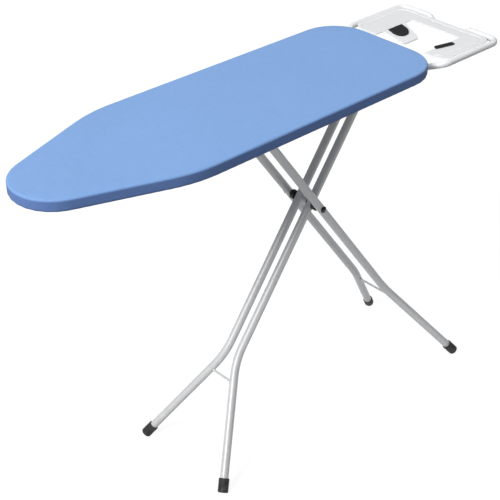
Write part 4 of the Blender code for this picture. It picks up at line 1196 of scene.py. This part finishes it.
class REST_OT_plate(bpy.types.Operator):
    """Makes the pressed plate of the iron rest.

    point(u, v) = (1 - v) inner(u) + v outer(u), where inner runs round the opening and outer
    round the rim from arm to arm; the height rolls down at both edges and has a pressed groove.
    """

    bl_idname = "ironing_board.rest_plate"
    bl_label = "Rest plate"

    def execute(self, context):
        rest = context.scene.rest_sizes
        top = PLATE_HIGH[2]
        start, end, half = PLATE_LOW[0], PLATE_HIGH[0], PLATE_HIGH[1]
        bridge, far, near, tuck = start + 0.122, 0.062, -0.080, 0.014
        inner = knotted([(start, far), (bridge, far), (bridge, near), (start, near)],
                        [0.005, 0.005], (1, 2), 60)
        outer = knotted(
            [(start, half - 2 * tuck), (start + tuck, half), (end, half), (end, -half),
             (start + tuck, -half), (start, 2 * tuck - half)],
            [0.020, 0.022, 0.022, 0.020], (2, 3), 60)
        share = np.concatenate([np.linspace(0, 0.08, 9)[:-1], np.linspace(0.08, 0.78, 15)[:-1],
                                np.linspace(0.78, 1, 22)])
        flat = inner[:, None] * (1 - share)[None, :, None] + outer[:, None] * share[None, :, None]
        width = np.linalg.norm(outer - inner, axis=1)[:, None]
        lead = run_along((inner + outer) / 2)
        ends = np.minimum(lead, lead[-1] - lead)[:, None]
        rim = np.minimum(np.minimum(share, 1 - share)[None] * width, ends)
        roll = rest.lip * (1 - np.sqrt(np.clip(1 - np.clip(1 - rim / rest.lip, 0, 1) ** 2, 0, 1)))
        groove_at = (1 - share)[None] * width
        groove_depth, groove_line, groove_width = 0.0013, 0.016, 0.0022
        groove = groove_depth * np.exp(-(((groove_at - groove_line) / groove_width) ** 2))
        groove = groove * np.clip((ends - 0.004) / 0.006, 0, 1)
        grid = np.concatenate([flat, (top - roll - groove)[:, :, None]], axis=2)
        mesh = grid_mesh("rest_plate_pressed", grid)
        plate = piece_of("rest_plate_pressed", mesh, "board", "white_paint",
                         ["rest_plate"])
        add_sheet_edges(plate, rest.plate)
        return {"FINISHED"}


TONGUE_SLOPE = math.radians(15)
TONGUE_ROOT = np.array([PLATE_LOW[0] + 0.0228, 0.062, PLATE_HIGH[2]])


def on_tongue(across, forward, lift):
    """Points beside the tongue's face: across from its root, forward down it, lift off it."""
    down = np.array([0, -math.cos(TONGUE_SLOPE), -math.sin(TONGUE_SLOPE)])
    normal = np.array([0, -math.sin(TONGUE_SLOPE), math.cos(TONGUE_SLOPE)])
    across, forward, lift = np.broadcast_arrays(across, forward, lift)
    point = TONGUE_ROOT + across[..., None] * np.array([1.0, 0, 0])
    return point + forward[..., None] * down + lift[..., None] * normal


class REST_OT_tongue(bpy.types.Operator):
    """Makes the sloping tongue: across(u, v) narrows down its slope, and its edges roll down."""

    bl_idname = "ironing_board.tongue"
    bl_label = "Tongue"

    def execute(self, context):
        rest = context.scene.rest_sizes
        width, length, taper = 0.078, 0.060, 0.010
        u = (np.sin(np.linspace(-1, 1, 49) * math.pi / 2) + 1) / 2
        v = np.concatenate([[-0.05], np.sin(np.linspace(0, 1, 40) * math.pi / 2)])
        u, v = np.meshgrid(u, v, indexing="ij")
        run = v * length
        corner = 0.008
        past = np.clip((run - (length - corner)) / corner, 0, 1)
        pull = corner * (1 - np.sqrt(1 - past**2))
        left = taper * np.clip(v, 0, 1) + pull
        right = width - 0.8 * taper * np.clip(v, 0, 1) - pull - 0.8 * taper * np.clip(v, 0, 1)
        across = left + (right - left) * u
        edge = np.minimum(np.minimum(u, 1 - u) * (right - left), (1 - v) * length)
        roll = rest.lip * (1 - np.sqrt(np.clip(1 - np.clip(1 - edge / rest.lip, 0, 1) ** 2, 0, 1)))
        blend = 0.0022 * np.clip(1 - v / 0.10, 0, 1) ** 2
        grid = on_tongue(across, run, -0.0009 - roll - blend * 0.2)
        mesh = grid_mesh("rest_tongue", grid)
        tongue = piece_of("rest_tongue", mesh, "board", "white_paint")
        add_sheet_edges(tongue, rest.plate)
        return {"FINISHED"}


def pillow(outline, height, edge, ribs=0.0):
    """A low moulded pad over a star-shaped outline (n, 2).

    Rings shrink from the outline to its middle: scale(v), height(v) go up the side, round the
    edge by a quarter circle and in over the top. Returns (n, rings, 3) with the height last.
    """
    centre = (outline.max(0) + outline.min(0)) / 2
    reach = np.linalg.norm(outline - centre, axis=1).max()
    turn = np.linspace(0, math.pi / 2, 6)
    inner = np.linspace(1 - edge / reach, 0, 9)[1:]
    scale = np.concatenate([[0.0, 0.5, 1.0], 1 - edge / reach * (1 - np.cos(turn)), inner])
    level = np.concatenate([np.zeros(3), height - edge + edge * np.sin(turn), 0 * inner + height])
    flat = centre + (outline - centre)[:, None] * scale[None, :, None]
    lift = np.broadcast_to(level[None, :], flat.shape[:2]).copy()
    lift[:, 9:] -= ribs * (0.5 + 0.5 * np.cos(TAU * flat[:, 9:, 0] / 0.004))
    return np.concatenate([flat, lift[:, :, None]], axis=2)


class REST_OT_heel_pads(bpy.types.Operator):
    """Makes the rubber pads: a D on the tongue and a bar on the near arm, as shrinking rings."""

    bl_idname = "ironing_board.heel_pads"
    bl_label = "Heel pads"

    def execute(self, context):
        half, length, rise = 0.022, 0.036, 0.003
        from_root, from_top, sunk = 0.039, 0.002, 0.0008
        turn = np.linspace(-math.pi / 2, math.pi / 2, 41)
        tip = np.column_stack([half * np.sin(turn), (length - half) + half * np.cos(turn)])
        back = np.column_stack([np.linspace(half, -half, 21)[1:-1], np.zeros(19)])
        sides = np.linspace(0, 1, 9)[:-1, None] * [0, length - half]
        outline = np.concatenate([
            tip, [half, length - half] - sides[1:], [[half, 0.0]], back, [[-half, 0.0]],
            [-half, 0.0] + sides[1:],
        ])
        grid = pillow(outline, rise, 0.0011)
        spot = on_tongue(from_root + grid[..., 0], from_top + grid[..., 1], grid[..., 2] - sunk)
        mesh = grid_mesh("heel_pad_moulded", spot, True, weld=1e-6)
        piece_of("heel_pad_moulded", mesh, "board", "black_rubber", ["heel_pad"])
        angle = np.linspace(0, TAU, 96, endpoint=False)
        reach, power = np.array([0.025, 0.006]), 2 / 7
        round_ends = np.column_stack([np.cos(angle), np.sin(angle)])
        outline = reach * np.sign(round_ends) * np.abs(round_ends) ** power
        grid = pillow(outline, rise, 0.0010)
        turn = math.radians(-14)
        centre = middle("rest_strip")
        across, forward = grid[..., 0], grid[..., 1]
        spot = np.stack([
            centre[0] + across * math.cos(turn) - forward * math.sin(turn),
            centre[1] + across * math.sin(turn) + forward * math.cos(turn),
            PLATE_HIGH[2] + grid[..., 2],
        ], axis=-1)
        mesh = grid_mesh("rest_bar_moulded", spot, True, weld=1e-6)
        piece_of("rest_bar_moulded", mesh, "board", "black_rubber", ["rest_strip"])
        return {"FINISHED"}


class BOARD_OT_hardware(bpy.types.Operator):
    """Gives every node that keeps its own shape its finish."""

    bl_idname = "ironing_board.hardware"
    bl_label = "Hardware finishes"

    def execute(self, context):
        slots = {part["node"]: part["material_slot"] for part in frame["record"]["subparts"]}
        for name, thing in frame["nodes"].items():
            if thing.hide_render:
                continue
            material = finish(slots.get(name, "zinc"))
            for slot in thing.material_slots:
                slot.material = material
            if not thing.material_slots:
                thing.data.materials.append(material)
        return {"FINISHED"}


# Stage

class STAGE_OT_stage(bpy.types.Operator):
    """Makes the floor, the soft lights, the pale surroundings and the camera."""

    bl_idname = "ironing_board.stage"
    bl_label = "Stage"

    def execute(self, context):
        scene = context.scene
        stage = scene.stage_settings
        u = np.linspace(0, TAU, 96, endpoint=False)
        v = np.array([0.0, 2.0, 8.0, 30.0])[:, None]
        floor = np.stack([v * np.cos(u), v * np.sin(u), 0 * v * u - 0.0002], axis=-1)
        mesh = mesh_of("floor", floor.reshape(-1, 3), quads_of(4, 96, False, True), weld=1e-6)
        ground = bpy.data.objects.new("floor", mesh)
        scene.collection.objects.link(ground)
        mesh.materials.append(self.floor_material())
        ground.visible_diffuse = False
        self.world(scene, stage)
        target = np.array([0.0, 0.0, 0.55])
        lamps = (
            ("key", (-6.8, -0.7, 5.6), 3.6, stage.key),
            ("fill", (-2.6, -2.6, 1.6), 3.0, stage.fill),
            ("top", (0.3, 0.2, 7.0), 5.0, stage.top),
        )
        for name, spot, width, power in lamps:
            lamp = bpy.data.lights.new(name, "AREA")
            lamp.shape, lamp.size, lamp.energy = "DISK", width, power
            holder = bpy.data.objects.new(name, lamp)
            holder.location = spot
            aim = Vector(target - np.array(spot))
            holder.rotation_euler = aim.to_track_quat("-Z", "Y").to_euler()
            scene.collection.objects.link(holder)
        self.camera(scene, stage)
        scene.view_settings.view_transform = "Standard"
        return {"FINISHED"}

    def floor_material(self):
        made, tree, surface, place = new_material(
            "floor_paper", Roughness=0.9, Specular_IOR_Level=0.1, Emission_Color=(1.0, 1.0, 1.0),
            Emission_Strength=0.9,
        )
        cloud = placed(
            tree, "uneven_shade", place, Broad_scale=1.2, Fine_scale=300.0, Fine_share=0.4,
        )
        put(tree, shaded(tree, tone("floor"), cloud["Shade"], 0.015), surface["Base Color"])
        put(tree, bump(tree, cloud["Shade"], 0.0001, 0.3), surface["Normal"])
        return made

    def world(self, scene, stage):
        world = bpy.data.worlds.new("pale_room")
        scene.world = world
        world.use_nodes = True
        background = world.node_tree.nodes["Background"]
        background.inputs["Color"].default_value = (0.93, 0.98, 1.06, 1)
        background.inputs["Strength"].default_value = stage.ambient

    def camera(self, scene, stage):
        """The view's axes from its turn, its tilt below the level, and its roll."""
        yaw, tilt, roll = stage.yaw, -stage.tilt, stage.roll
        level = math.cos(tilt)
        ahead = Vector((math.sin(yaw) * level, math.cos(yaw) * level, math.sin(tilt)))
        right = Vector((math.cos(yaw), -math.sin(yaw), 0.0))
        up = right.cross(ahead)
        across = right * math.cos(roll) + up * math.sin(roll)
        upward = up * math.cos(roll) - right * math.sin(roll)
        camera = bpy.data.objects.new("camera", bpy.data.cameras.new("camera"))
        camera.data.sensor_width = 36.0
        camera.data.lens = stage.lens
        axes = Matrix((across, upward, -ahead)).transposed().to_4x4()
        camera.matrix_world = Matrix.Translation(stage.spot) @ axes
        scene.collection.objects.link(camera)
        scene.camera = camera


class StageSettings(bpy.types.PropertyGroup):
    """The camera and the lights."""

    spot: bpy.props.FloatVectorProperty(
        name="Camera spot", description="Where the camera stands", subtype="TRANSLATION",
        unit="LENGTH", default=(-1.620625, -1.760, 2.005))
    yaw: size("Yaw", "The camera's turn from +Y towards +X", math.radians(42.015), "ANGLE")
    tilt: size("Tilt", "The camera's slope below the level", math.radians(32.618), "ANGLE")
    roll: size("Roll", "The camera's roll", -0.011, "ANGLE")
    lens: size("Lens", "Focal length in millimetres", 92.55, "NONE")
    key: size("Key light", "Power of the key light, in watts", 540.0, "NONE")
    fill: size("Fill light", "Power of the fill light, in watts", 3.0, "NONE")
    top: size("Top light", "Power of the top light, in watts", 172.0, "NONE")
    ambient: size("Surroundings", "Strength of the pale surroundings", 0.16, "NONE")


# Add-on

PIECES = (
    BOARD_OT_cover, BOARD_OT_pad, BOARD_OT_steel_mesh, BOARD_OT_rim, STAND_OT_legs, STAND_OT_bars,
    STAND_OT_braces, STAND_OT_foot_caps, STAND_OT_crossing, LEVER_OT_grip, REST_OT_tube,
    REST_OT_plate, REST_OT_tongue, REST_OT_heel_pads, BOARD_OT_hardware, STAGE_OT_stage,
)
SETTINGS = {
    "board_sizes": BoardSizes, "stand_sizes": StandSizes, "rest_sizes": RestSizes,
    "board_finishes": Finishes, "stage_settings": StageSettings,
}


class BOARD_PT_panel(bpy.types.Panel):
    """The sidebar panel that lists the sizes and the makers."""

    bl_idname = "BOARD_PT_panel"
    bl_label = "Ironing Board"
    bl_space_type = "VIEW_3D"
    bl_region_type = "UI"
    bl_category = "Ironing Board"

    def draw(self, context):
        for name, group in SETTINGS.items():
            box = self.layout.box()
            box.label(text=group.__name__)
            for key in group.__annotations__:
                box.prop(getattr(context.scene, name), key)
        for piece in PIECES:
            self.layout.operator(piece.bl_idname)


def register():
    for group in (*SETTINGS.values(), *PIECES, BOARD_PT_panel):
        bpy.utils.register_class(group)
    for name, group in SETTINGS.items():
        setattr(bpy.types.Scene, name, bpy.props.PointerProperty(type=group))


def unregister():
    for name in SETTINGS:
        delattr(bpy.types.Scene, name)
    for group in (BOARD_PT_panel, *reversed(PIECES), *reversed(SETTINGS.values())):
        bpy.utils.unregister_class(group)


def main():
    register()
    for piece in PIECES:
        made = getattr(bpy.ops.ironing_board, piece.bl_idname.split(".")[1])()
        if made != {"FINISHED"}:
            raise RuntimeError(piece.bl_label + " was not made")


if __name__ == "__main__":
    main()
